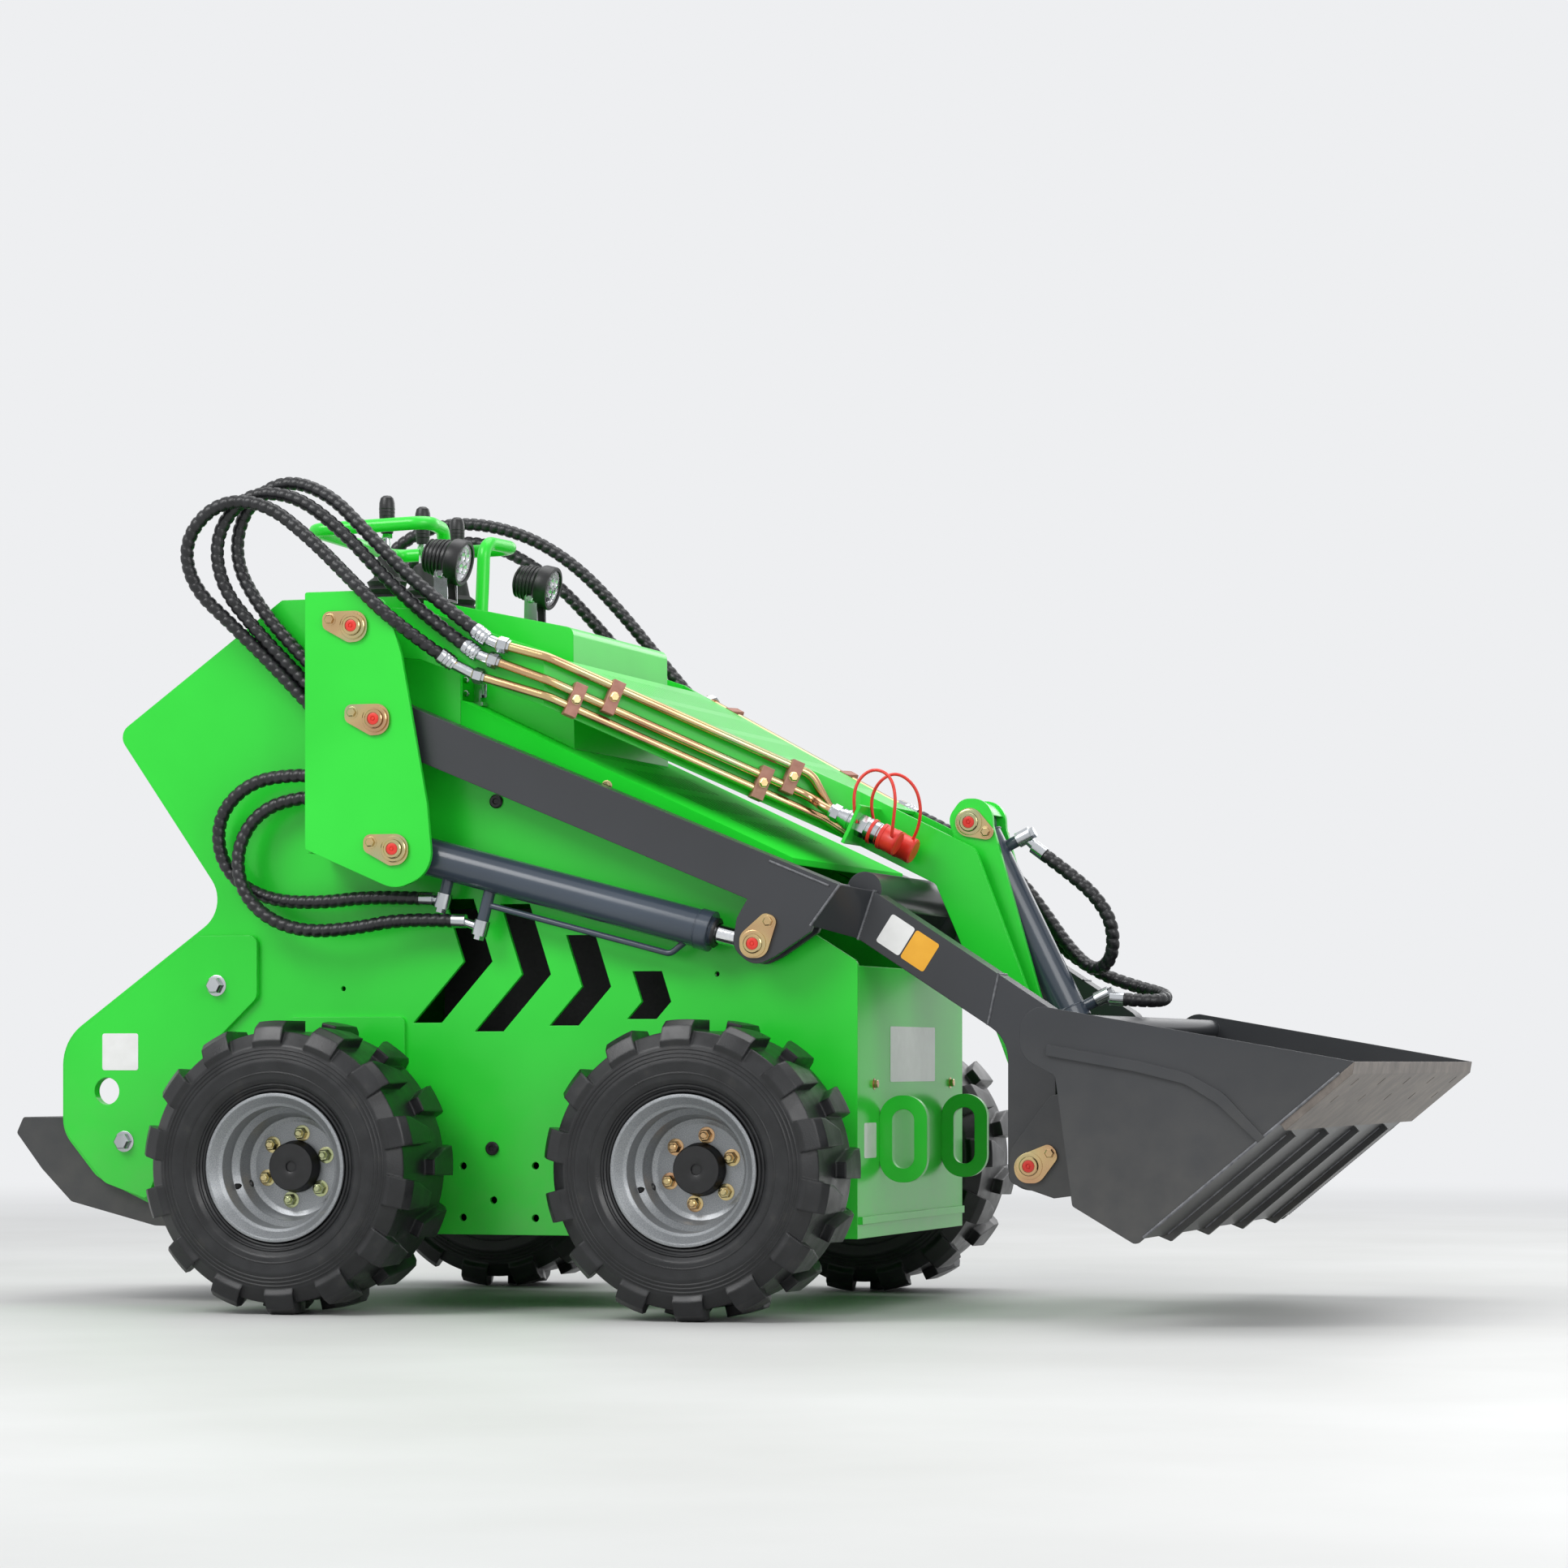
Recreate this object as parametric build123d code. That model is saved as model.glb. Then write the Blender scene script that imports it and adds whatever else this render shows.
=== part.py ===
"""Stand-on wheeled mini skid steer loader with a general-purpose bucket.

Frame: millimetres, +X forwards to the bucket, +Y to the machine's left, +Z up.
The origin is on the ground, under the middle of the machine's overall box.
The arms are down, the bucket is rolled right back and the wheels stand on Z = 0.
"""
from build123d import *
from math import acos, atan2, cos, degrees, hypot, pi, radians, sin, tan
import os

os.makedirs("parts", exist_ok=True)

# ---------------------------------------------------------------- chassis sizes
CHASSIS_WIDTH = 616.0
SIDE_SHEET = 8.0
PANEL_SHEET = 6.0
FRONT_X = 314.0
BELLY_Z = 118.0
BELLY_REAR_X = -800.0
FRONT_PANEL_TOP_Z = 548.0
PLATFORM_Z = 302.0
PLATFORM_REAR_X = -1133.0

# ---------------------------------------------------------------- wheels
TYRE_RADIUS = 228.5
TYRE_WIDTH = 212.0
LUGS_PER_SIDE = 14
LUG_HEIGHT = 17.0
RIM_RADIUS = 116.0
RIM_WIDTH = 190.0
RIM_SHEET = 5.0
DISC_RECESS = 87.0
TYRE_GAP = 58.0
WHEEL_TRACK = CHASSIS_WIDTH + 2 * TYRE_GAP + TYRE_WIDTH
FRONT_AXLE_X = 116.0
WHEELBASE = 669.0
HUB_RADIUS = 66.0
HUB_CAP_RADIUS = 37.0
SHAFT_RADIUS = 17.5
MOTOR_RADIUS = 58.0
MOTOR_REACH = 84.0
RUNNING_FIT = 0.1

# ---------------------------------------------------------------- loader linkage
ARM_WIDTH = 50.0
ARM_DEPTH = 75.0
ARM_GAP = 17.0
ARM_LANE_Y = CHASSIS_WIDTH / 2 + ARM_GAP + ARM_WIDTH / 2
ARM_JOG = 75.0
LEG_LANE_Y = ARM_LANE_Y - ARM_JOG
TOWER_OUTER_Y = ARM_LANE_Y + ARM_WIDTH / 2 + 25.0
TOWER_SHEET = 8.0
PIN_RADIUS = 15.0
ARM_PIVOT = (-452.0, 934.0)
LINK_PIVOT = (-490.0, 1082.0)
LIFT_PIVOT = (-420.0, 728.0)
ROD_PIVOT = (167.0, 575.0)
FRONT_PIN = (590.0, 233.0)
LINK_FRONT_PIN = (
    FRONT_PIN[0] + LINK_PIVOT[0] - ARM_PIVOT[0],
    FRONT_PIN[1] + LINK_PIVOT[1] - ARM_PIVOT[1],
)
TILT_PIVOT = (423.0, 775.0)
TILT_ROD_PIN = (609.0, 400.0)
LINK_LANE_Y = ARM_LANE_Y - 5.0
LINK_SHEET = 10.0
LINK_NOSE_Y = 76.0
CARRIAGE_OUTER_Y = 46.0
CARRIAGE_SHEET = 10.0
BARREL_RADIUS = 30.0
ROD_RADIUS = 15.0

# ---------------------------------------------------------------- bucket
BUCKET_WIDTH = 1090.0
BUCKET_SHEET = 6.0


# ================================================================ shape helpers
def outline_face(corners, y):
    """Face in the plane Y = y; each corner is (x, z, corner radius)."""
    count = len(corners)
    ends = []
    for i, (x, z, radius) in enumerate(corners):
        xa, za, _ = corners[i - 1]
        xb, zb, _ = corners[(i + 1) % count]
        run_a = hypot(xa - x, za - z)
        run_b = hypot(xb - x, zb - z)
        ax, az = (xa - x) / run_a, (za - z) / run_a
        bx, bz = (xb - x) / run_b, (zb - z) / run_b
        half_angle = acos(max(-1.0, min(1.0, ax * bx + az * bz))) / 2
        reach = radius / tan(half_angle)
        start = (x + ax * reach, y, z + az * reach)
        end = (x + bx * reach, y, z + bz * reach)
        depth = radius / sin(half_angle) - radius
        mid_x, mid_z = ax + bx, az + bz
        size = hypot(mid_x, mid_z) or 1.0
        middle = (x + mid_x / size * depth, y, z + mid_z / size * depth)
        ends.append((start, middle, end, reach, run_a, run_b))
    edges = []
    for i in range(count):
        start, middle, end, reach, _, run_b = ends[i]
        next_reach = ends[(i + 1) % count][3]
        if reach + next_reach > run_b + 1e-6:
            raise ValueError(f"corner {i} {corners[i]}: {reach:.1f} + {next_reach:.1f} > {run_b:.1f}")
        if reach > 0:
            edges.append(ThreePointArc(start, middle, end))
        next_start = ends[(i + 1) % count][0]
        if run_b - reach - next_reach > 1e-4:
            edges.append(Line(end, next_start))
    return Face(Wire(edges))


def plate(corners, y0, y1):
    """Flat plate standing fore and aft, between the planes Y = y0 and Y = y1."""
    return extrude(outline_face(corners, y0), amount=y1 - y0, dir=(0, 1, 0))


def block(x0, x1, y0, y1, z0, z1):
    """Rectangular block between two corners."""
    return Pos((x0 + x1) / 2, (y0 + y1) / 2, (z0 + z1) / 2) * Box(x1 - x0, y1 - y0, z1 - z0)


def round_bar(start, end, radius):
    """Solid round bar between two points."""
    run = Vector(*end) - Vector(*start)
    base = Plane(origin=start, z_dir=run)
    return base * Cylinder(radius, run.length, align=(Align.CENTER, Align.CENTER, Align.MIN))


def cross_bar(x, z, radius, y0, y1):
    """Round bar along Y."""
    return round_bar((x, y0, z), (x, y1, z), radius)


def left_of(shape):
    """The same shape on the machine's left side."""
    return mirror(shape, about=Plane.XZ)


def both_sides(shape):
    """A right-hand shape and its left-hand twin."""
    return Compound(children=[shape, left_of(shape)])


def bent_sheet(points, thickness, y0, y1):
    """Sheet folded along a line of (x, z) points; its thickness lies to the line's left."""
    count = len(points)
    normals = []
    for (xa, za), (xb, zb) in zip(points[:-1], points[1:]):
        run = hypot(xb - xa, zb - za)
        normals.append(((za - zb) / run, (xb - xa) / run))
    inner = []
    for i, (x, z) in enumerate(points):
        before = normals[max(i - 1, 0)]
        after = normals[min(i, count - 2)]
        share = 1.0 + before[0] * after[0] + before[1] * after[1]
        inner.append(
            (
                x + thickness * (before[0] + after[0]) / share,
                z + thickness * (before[1] + after[1]) / share,
            )
        )
    corners = [(x, z, 0) for x, z in points] + [(x, z, 0) for x, z in reversed(inner)]
    return plate(corners, y0, y1)


def slot_rows(x_starts, y_first, y_pitch, rows, stagger, length, width, z0, z1):
    """Cutters for staggered rows of narrow slots that run fore and aft."""
    cutters = []
    for x_start in x_starts:
        for row in range(rows):
            x = x_start + stagger * row
            y = y_first + y_pitch * row
            cutters.append(block(x, x + length, y - width / 2, y + width / 2, z0, z1))
    return cutters


def smooth_path(points, largest=1e9):
    """Straight runs joined by the largest tangent arcs that the runs allow."""
    radii = []
    for before, here, after in zip(points[:-2], points[1:-1], points[2:]):
        run_in = Vector(here) - Vector(before)
        run_out = Vector(after) - Vector(here)
        turn = radians(run_in.get_angle(run_out))
        fits = 0.45 * min(run_in.length, run_out.length) / tan(turn / 2)
        radii.append(min(fits, largest))
    return FilletPolyline(*points, radius=radii), radii


def tube(points, radius, largest=1e9):
    """Round tube or bar along a smooth path."""
    path, _ = smooth_path(points, largest)
    start = Plane(origin=path @ 0, z_dir=path % 0)
    return sweep(start * Circle(radius), path=path)


def save(shape, node):
    """Write one node's STEP file."""
    export_step(shape, f"parts/{node}.step")


# ================================================================ chassis
HALF = CHASSIS_WIDTH / 2
SLOPE = 0.4666  # fall of the hood, per unit of length
HOOD_REAR_X = -345.0
HOOD_FRONT_X = 210.0


def crease_z(x):
    """Height of the hood's side crease at x."""
    return 925.2 - SLOPE * (x + 252.0)


SKIRT_DROP = 50.0
SHUT_LINE = 0.3

SIDE_OUTLINE = [
    (-654, 1137, 8),
    (-945, 927, 22),
    (-747, 643, 55),
    (-1044, 428, 80),
    (-1044, 278, 60),
    (-983, 205, 40),
    (-790, BELLY_Z, 20),
    (FRONT_X, BELLY_Z, 0),
    (FRONT_X, FRONT_PANEL_TOP_Z, 12),
    (240, 594, 10),
    (225, crease_z(225) - SKIRT_DROP - SHUT_LINE, 0),
    (HOOD_REAR_X - SHUT_LINE, crease_z(HOOD_REAR_X) - SKIRT_DROP - SHUT_LINE, 0),
    (HOOD_REAR_X - SHUT_LINE, 1040, 20),
    (-430, 1137, 20),
]

# chevron vents: x and z of the right-hand vertex, rise above it, drop below it
CHEVRONS = [
    (-291, 552, 100, 97),
    (-192, 531, 112, 90),
    (-91, 511, 82, 61),
    (9, 487, 48, 27),
]
CHEVRON_WIDTH = 49.0
UPPER_LEAN = 0.32
LOWER_LEAN = 0.89

# holes in each side plate: x, z, radius
SIDE_HOLES = [
    (-547, 510, 4),
    (85, 530, 4),
    (-289, 255, 6),
    (-341, 227, 6),
    (-218, 228, 6),
    (-289, 173, 6),
    (-341, 145, 6),
    (-218, 145, 6),
]
TIE_HOLE = (-960, 345, 22)


def chevron(x, z, rise, drop, y0, y1):
    """Arrow-head cutter pointing forwards."""
    corners = [
        (x - rise * UPPER_LEAN, z + rise, 0),
        (x, z, 0),
        (x - drop * LOWER_LEAN, z - drop, 0),
        (x - drop * LOWER_LEAN - CHEVRON_WIDTH, z - drop, 0),
        (x - CHEVRON_WIDTH, z, 0),
        (x - rise * UPPER_LEAN - CHEVRON_WIDTH, z + rise, 0),
    ]
    return plate(corners, y0, y1)


def side_plate():
    """Right-hand side plate with its vents and holes."""
    shape = plate(SIDE_OUTLINE, -HALF, -HALF + SIDE_SHEET)
    cut_from = -HALF - 5
    cut_to = -HALF + SIDE_SHEET + 5
    for x, z, rise, drop in CHEVRONS:
        shape -= chevron(x, z, rise, drop, cut_from, cut_to)
    for x, z, radius in SIDE_HOLES + [TIE_HOLE]:
        shape -= cross_bar(x, z, radius, cut_from, cut_to)
    for x in (FRONT_AXLE_X, FRONT_AXLE_X - WHEELBASE):
        shape -= cross_bar(x, TYRE_RADIUS, MOTOR_RADIUS, cut_from, cut_to)
    return shape


def rear_plate():
    """Outer plate bolted over the rear corner of the side plate, and the pad welded ahead of it."""
    corners = [
        (-796, 597, 6),
        (-694, 597, 14),
        (-694, 496, 18),
        (-768, 426, 20),
        (-890, 170, 6),
        (-965, 196, 30),
        (-1037, 280, 55),
        (-1037, 425, 75),
    ]
    shape = plate(corners, -HALF - 10, -HALF)
    x, z, radius = TIE_HOLE
    return shape - cross_bar(x, z, radius, -HALF - 15, -HALF + 5)


def axle_pad():
    """Doubling plate welded to the side plate behind the rear wheel."""
    corners = [(-640, 465, 10), (-439, 465, 10), (-439, 340, 6), (-640, 340, 6)]
    return plate(corners, -HALF - 6, -HALF)


def front_and_belly():
    """Front panel, belly pan and rear bulkhead, folded from sheet between the side plates."""
    inner = HALF - SIDE_SHEET
    line = [
        (FRONT_X - PANEL_SHEET - 30, FRONT_PANEL_TOP_Z - PANEL_SHEET),
        (FRONT_X, FRONT_PANEL_TOP_Z - PANEL_SHEET),
        (FRONT_X, BELLY_Z),
        (BELLY_REAR_X + 60, BELLY_Z),
        (BELLY_REAR_X + 60, PLATFORM_Z),
    ]
    tray = bent_sheet(list(reversed(line)), PANEL_SHEET, -inner, inner)
    lip = block(FRONT_X, FRONT_X + 6, -inner, inner, BELLY_Z + 22, BELLY_Z + 34)
    return tray + lip


def stand_platform():
    """Fixed folded step that the operator stands on."""
    half = HALF - SIDE_SHEET - 2
    rear = PLATFORM_REAR_X
    outer = [
        (BELLY_REAR_X + 54, PLATFORM_Z, 0),
        (rear + 12, PLATFORM_Z, 6),
        (rear, PLATFORM_Z - 26, 6),
        (rear + 46, 217, 6),
        (rear + 99, 164, 10),
        (-884, 126, 20),
        (BELLY_REAR_X + 54, BELLY_Z + 4, 0),
    ]
    inner = [
        (BELLY_REAR_X + 60, PLATFORM_Z - 6, 0),
        (rear + 18, PLATFORM_Z - 6, 0),
        (rear + 8, PLATFORM_Z - 26, 0),
        (rear + 50, 222, 0),
        (rear + 102, 171, 0),
        (-884, 133, 0),
        (BELLY_REAR_X + 60, BELLY_Z + 10, 0),
    ]
    return plate(outer, -half, half) - plate(inner, -half + 6, half - 6)


CONSOLE_Z = 1127.0
COVER_REAR = (-406.0, 1133.0)
COVER_FRONT = (-183.0, 1086.0)


def cover_z(x):
    """Height of the valve cover's top at x."""
    fall = (COVER_FRONT[1] - COVER_REAR[1]) / (COVER_FRONT[0] - COVER_REAR[0])
    return COVER_REAR[1] + fall * (x - COVER_REAR[0])


def console():
    """Control housing between the side plates: thigh panel, dash and valve cover."""
    inner = HALF - SIDE_SHEET
    shell = bent_sheet(
        [
            (BELLY_REAR_X + 54, PLATFORM_Z),
            (-735, 640),
            (-800, 735),
            (-925, 928),
            (-650, 1127),
            (-440, 1127),
        ],
        -6,
        -inner,
        inner,
    )
    cover = plate(
        [
            (-440, 1100, 0),
            (-440, 1138, 0),
            (-406, 1133, 8),
            (-183, 1086, 14),
            (-181, crease_z(-181) + 0.3, 0),
            (HOOD_REAR_X, crease_z(HOOD_REAR_X) + 0.3, 0),
            (-434, 985, 0),
        ],
        -230,
        230,
    )
    hollow = plate(
        [
            (-434, 990, 0),
            (-434, 1130, 0),
            (-407, 1127, 0),
            (-189, 1081, 0),
            (-187, 880, 0),
            (-434, 880, 0),
        ],
        -224,
        224,
    )
    bulkhead = block(-440, -434, -inner, inner, 880, 1124)
    return shell + (cover - hollow) + bulkhead


def hood():
    """Flat sloping sheet hood with side skirts, a folded front lip and rows of air slots."""
    sheet = 3.0
    rear_z = crease_z(HOOD_REAR_X)
    front_z = crease_z(HOOD_FRONT_X)
    shape = None
    # band of the hood: depth of its lower edge, y range
    for depth, y0, y1 in (
        (sheet, -HALF, HALF),
        (SKIRT_DROP, -HALF, -HALF + sheet),
        (SKIRT_DROP, HALF - sheet, HALF),
    ):
        outline = [
            (HOOD_REAR_X, rear_z, 0),
            (HOOD_FRONT_X, front_z, 0),
            (HOOD_FRONT_X, front_z - depth, 0),
            (HOOD_REAR_X, rear_z - depth, 0),
        ]
        band = plate(outline, y0, y1)
        shape = band if shape is None else shape + band
    shape += block(HOOD_FRONT_X - sheet, HOOD_FRONT_X, -HALF, HALF, front_z - 10, front_z - 1)
    # groups of slots: x where each starts; their rows lie across the middle
    slots = slot_rows((-320, -222, -126, -36, 54), -150, 25, 13, 0, 62, 4, 600, 1050)
    return shape.cut(*slots)


def tower():
    """Right-hand pivot tower: outer plate with two returns bent in to the side plate."""
    face_y = -TOWER_OUTER_Y
    inner_y = face_y + TOWER_SHEET
    corners = [
        (-574, 1138, 4),
        (-476, 1138, 20),
        (-436, 1120, 30),
        (-410, 1037, 0),
        (-366, 799, 0),
        (-356, 690, 50),
        (-420, 664, 50),
        (-560, 724, 0),
        (-574, 730, 4),
    ]
    shape = plate(corners, face_y, inner_y)
    for z0, z1 in ((724, 786), (1048, 1138)):
        shape += block(-574, -574 + TOWER_SHEET, inner_y, -HALF, z0, z1)
    for x, z in (ARM_PIVOT, LINK_PIVOT, LIFT_PIVOT):
        shape -= cross_bar(x, z, PIN_RADIUS, face_y - 1, inner_y + 1)
    return shape


def tower_pins():
    """Three pins on each side, through the tower and the side plate, with keeper plates."""
    pins = []
    for x, z in (ARM_PIVOT, LINK_PIVOT, LIFT_PIVOT):
        pin = cross_bar(x, z, PIN_RADIUS, -TOWER_OUTER_Y - 12, -HALF)
        keeper = plate(
            [
                (x + 24, z + 24, 22),
                (x + 24, z - 24, 22),
                (x - 8, z - 26, 14),
                (x - 52, z - 2, 12),
                (x - 52, z + 24, 12),
            ],
            -TOWER_OUTER_Y - 5,
            -TOWER_OUTER_Y,
        )
        pins.append(pin + keeper)
    return Compound(children=pins + [left_of(p) for p in pins])


TIE_REACH = 78.0


def tie_down_loops():
    """Two obround lashing rings welded edge-on to the front panel."""
    loops = []
    for y in (-182, 182):
        outer = plate(
            [
                (FRONT_X, 340, 37),
                (FRONT_X + TIE_REACH, 340, 37),
                (FRONT_X + TIE_REACH, 203, 37),
                (FRONT_X, 203, 37),
            ],
            y - 6,
            y + 6,
        )
        hole = plate(
            [
                (FRONT_X + 21, 318, 17.5),
                (FRONT_X + TIE_REACH - 21, 318, 17.5),
                (FRONT_X + TIE_REACH - 21, 225, 17.5),
                (FRONT_X + 21, 225, 17.5),
            ],
            y - 8,
            y + 8,
        )
        loops.append(outer - hole)
    return Compound(children=loops)


def engine():
    """Plain block for the engine and pump, at their real place and size."""
    return block(-420, 60, -190, 190, BELLY_Z + PANEL_SHEET, 640)


def wheel_motors():
    """Four hydraulic wheel motors bolted through the side plates."""
    face_y = -HALF - MOTOR_REACH
    motors = []
    for x in (FRONT_AXLE_X, FRONT_AXLE_X - WHEELBASE):
        body = cross_bar(x, TYRE_RADIUS, MOTOR_RADIUS, face_y, -HALF + 98)
        body -= cross_bar(x, TYRE_RADIUS, SHAFT_RADIUS + RUNNING_FIT, face_y - 1, face_y + 62)
        motors.append(body)
    return Compound(children=motors + [left_of(m) for m in motors])


RAIL_RADIUS = 11.0
RAIL_Y = 200.0
RAIL_Z = 1268.0
RAIL_FRONT_X = -444.0
RAIL_REAR_X = -650.0
LEVER_X = -535.0
LEVER_SPACING = 155.0
LEVER_TOP_Z = 1320.0
LAMP_X = -412.0
LAMP_Y = 205.0
LAMP_Z = 1206.0
LAMP_RADIUS = 36.0


def handrail():
    """Bent tube grab rail: two side bars joined at the rear, each turned in to a front leg."""
    leg_y = RAIL_Y - 110
    path = FilletPolyline(
        (RAIL_FRONT_X - 22, -leg_y, CONSOLE_Z),
        (RAIL_FRONT_X - 16, -leg_y, RAIL_Z),
        (RAIL_FRONT_X, -RAIL_Y, RAIL_Z),
        (RAIL_REAR_X, -RAIL_Y, RAIL_Z - 6),
        (RAIL_REAR_X - 15, RAIL_Y, RAIL_Z - 6),
        (RAIL_FRONT_X, RAIL_Y, RAIL_Z),
        (RAIL_FRONT_X - 16, leg_y, RAIL_Z),
        (RAIL_FRONT_X - 22, leg_y, CONSOLE_Z),
        radius=26,
    )
    start = Plane(origin=path @ 0, z_dir=path % 0)
    rail = sweep(start * Circle(RAIL_RADIUS), path=path)
    return rail - block(-600, -400, -RAIL_Y, RAIL_Y, CONSOLE_Z - 20, CONSOLE_Z)


def control_levers():
    """Three levers across the dash: bellows boot, rod and rounded grip."""
    levers = []
    for step in (-1, 0, 1):
        y = step * LEVER_SPACING
        x = LEVER_X
        # radius of the boot's folds at each height above the dash
        folds = [
            (0, 0),
            (44, 0),
            (44, 8),
            (36, 14),
            (41, 22),
            (33, 28),
            (38, 36),
            (29, 42),
            (33, 50),
            (22, 58),
            (15, 92),
            (6, 98),
            (0, 98),
        ]
        boot_face = Face(Wire(Polyline(*[(r, 0, z) for r, z in folds], close=True).edges()))
        boot = Pos(x, y, CONSOLE_Z) * revolve(boot_face, axis=Axis.Z)
        rod = round_bar((x, y, CONSOLE_Z + 90), (x, y, LEVER_TOP_Z - 50), 6)
        grip = Pos(x, y, LEVER_TOP_Z - 60) * Cone(9, 12, 46, align=(Align.CENTER, Align.CENTER, Align.MIN))
        cap = Pos(x, y, LEVER_TOP_Z - 14) * Sphere(12)
        cap = cap & block(x - 20, x + 20, y - 20, y + 20, LEVER_TOP_Z - 14, LEVER_TOP_Z)
        levers.append(boot + rod + grip + cap)
    return Compound(children=levers)


def work_lamps():
    """Two round work lamps, each on a fork bracket that stands on the valve cover."""
    lamps = []
    for side in (-1, 1):
        y = side * LAMP_Y
        section = [
            (0, -34),
            (20, -34),
            (27, -26),
            (31, 6),
            (LAMP_RADIUS, 12),
            (LAMP_RADIUS, 34),
            (31, 34),
            (29, 26),
            (0, 26),
        ]
        face = Face(Wire(Polyline(*[(r, 0, z) for r, z in section], close=True).edges()))
        aim = Plane(origin=(LAMP_X, y, LAMP_Z), z_dir=(1, 0, -0.25))
        body = aim * revolve(face, axis=Axis.Z)
        deck = cover_z(LAMP_X - 6)
        stem = block(LAMP_X - 10, LAMP_X + 10, y - 16, y + 16, deck, deck + 4)
        for dy in (-20, 16):
            stem += plate(
                [
                    (LAMP_X - 12, deck + 4, 4),
                    (LAMP_X + 12, deck + 4, 4),
                    (LAMP_X + 8, LAMP_Z - 20, 6),
                    (LAMP_X - 8, LAMP_Z - 20, 6),
                ],
                y + dy,
                y + dy + 4,
            )
        stem += block(LAMP_X - 12, LAMP_X + 12, y - 20, y + 20, deck, deck + 4.5)
        lamps.append(body + stem)
    return Compound(children=lamps)


# ================================================================ wheels
def tyre():
    """Bar-lug tyre centred on the origin, axle along Y, outer side towards -Y."""
    half = TYRE_WIDTH / 2
    bead = RIM_RADIUS - 9
    root = TYRE_RADIUS - LUG_HEIGHT
    profile = [
        (bead, half - 28),
        (bead + 31, half - 3),
        (165, half),
        (190, half - 6),
        (root, half - 22),
        (root, -half + 22),
        (190, -half + 6),
        (165, -half),
        (bead + 31, -half + 3),
        (bead, -half + 28),
    ]
    face = Face(Wire(Polyline(*[(r, y, 0) for r, y in profile], close=True).edges()))
    body = revolve(face, axis=Axis.Y)
    envelope = [
        (180, 2),
        (TYRE_RADIUS, 2),
        (TYRE_RADIUS, half - 26),
        (TYRE_RADIUS - 9, half - 12),
        (198, half - 2),
        (180, half - 9),
    ]
    ring_face = Face(Wire(Polyline(*[(r, y, 0) for r, y in envelope], close=True).edges()))
    sector = Rot(0, -20, 0) * revolve(ring_face, axis=Axis.Y, revolution_arc=40)
    # seen from outside: narrow end near the middle, wide end at the shoulder, leaning back
    print_shape = [
        (-12, 2),
        (12, 2),
        (30, half - 46),
        (34, half),
        (-14, half),
        (-14, half - 40),
    ]
    bar = Face(Wire(Polyline(*[(170, y, z) for z, y in print_shape], close=True).edges()))
    lug = extrude(bar, amount=80, dir=(1, 0, 0)) & sector
    pitch = 360.0 / LUGS_PER_SIDE
    lugs = []
    for i in range(LUGS_PER_SIDE):
        lugs.append(Rot(0, i * pitch, 0) * lug)
        lugs.append(Rot(0, (i + 0.5) * pitch, 0) * mirror(lug, about=Plane.XZ))
    return body.fuse(*lugs)


def wheel():
    """Pressed steel disc wheel with its drive hub, shaft and cap, outer side towards -Y."""
    half = RIM_WIDTH / 2
    seat = RIM_RADIUS - 12
    disc_y = -half + DISC_RECESS
    section = [
        (RIM_RADIUS, -half),
        (RIM_RADIUS - 5, -half - 1),
        (seat - 4, -half + 12),
        (seat - 9, -half + 16),
        (seat - 10, -half + 48),
        (84, -half + 58),
        (78, disc_y - 4),
        (70, disc_y),
        (HUB_CAP_RADIUS, disc_y),
        (HUB_CAP_RADIUS, disc_y + 8),
        (82, disc_y + 8),
        (seat - 4, disc_y + 14),
        (seat - 6, half - 16),
        (RIM_RADIUS - 6, half),
        (RIM_RADIUS, half),
        (RIM_RADIUS, half - 5),
        (seat + 3, half - 14),
        (seat + 3, -half + 14),
        (RIM_RADIUS, -half + 5),
    ]
    face = Face(Wire(Polyline(*[(r, y, 0) for r, y in section], close=True).edges()))
    shape = revolve(face, axis=Axis.Y)
    motor_face = WHEEL_TRACK / 2 - HALF - MOTOR_REACH
    shape += round_bar((0, disc_y + 8, 0), (0, motor_face - 8, 0), HUB_RADIUS)
    shape += round_bar((0, disc_y - 20, 0), (0, disc_y + 8, 0), HUB_CAP_RADIUS)
    shape += round_bar((0, disc_y + 8, 0), (0, motor_face + 61, 0), SHAFT_RADIUS)
    shape -= round_bar((0, disc_y - 21, 0), (0, disc_y - 16, 0), 7)
    return shape


# ================================================================ loader arms
def arm_plane_z(x, edge):
    """Height of the rear run's centre line plus or minus half its depth."""
    return 934.0 - 0.41 * (x - ARM_PIVOT[0]) + edge * ARM_DEPTH / 2 / cos(atan2(0.41, 1))


def front_run_z(x, edge):
    """Height of the front run's edge at x."""
    return 620.0 - 0.648 * (x - 325.0) + edge * ARM_DEPTH / 2 / cos(atan2(0.648, 1))


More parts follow.
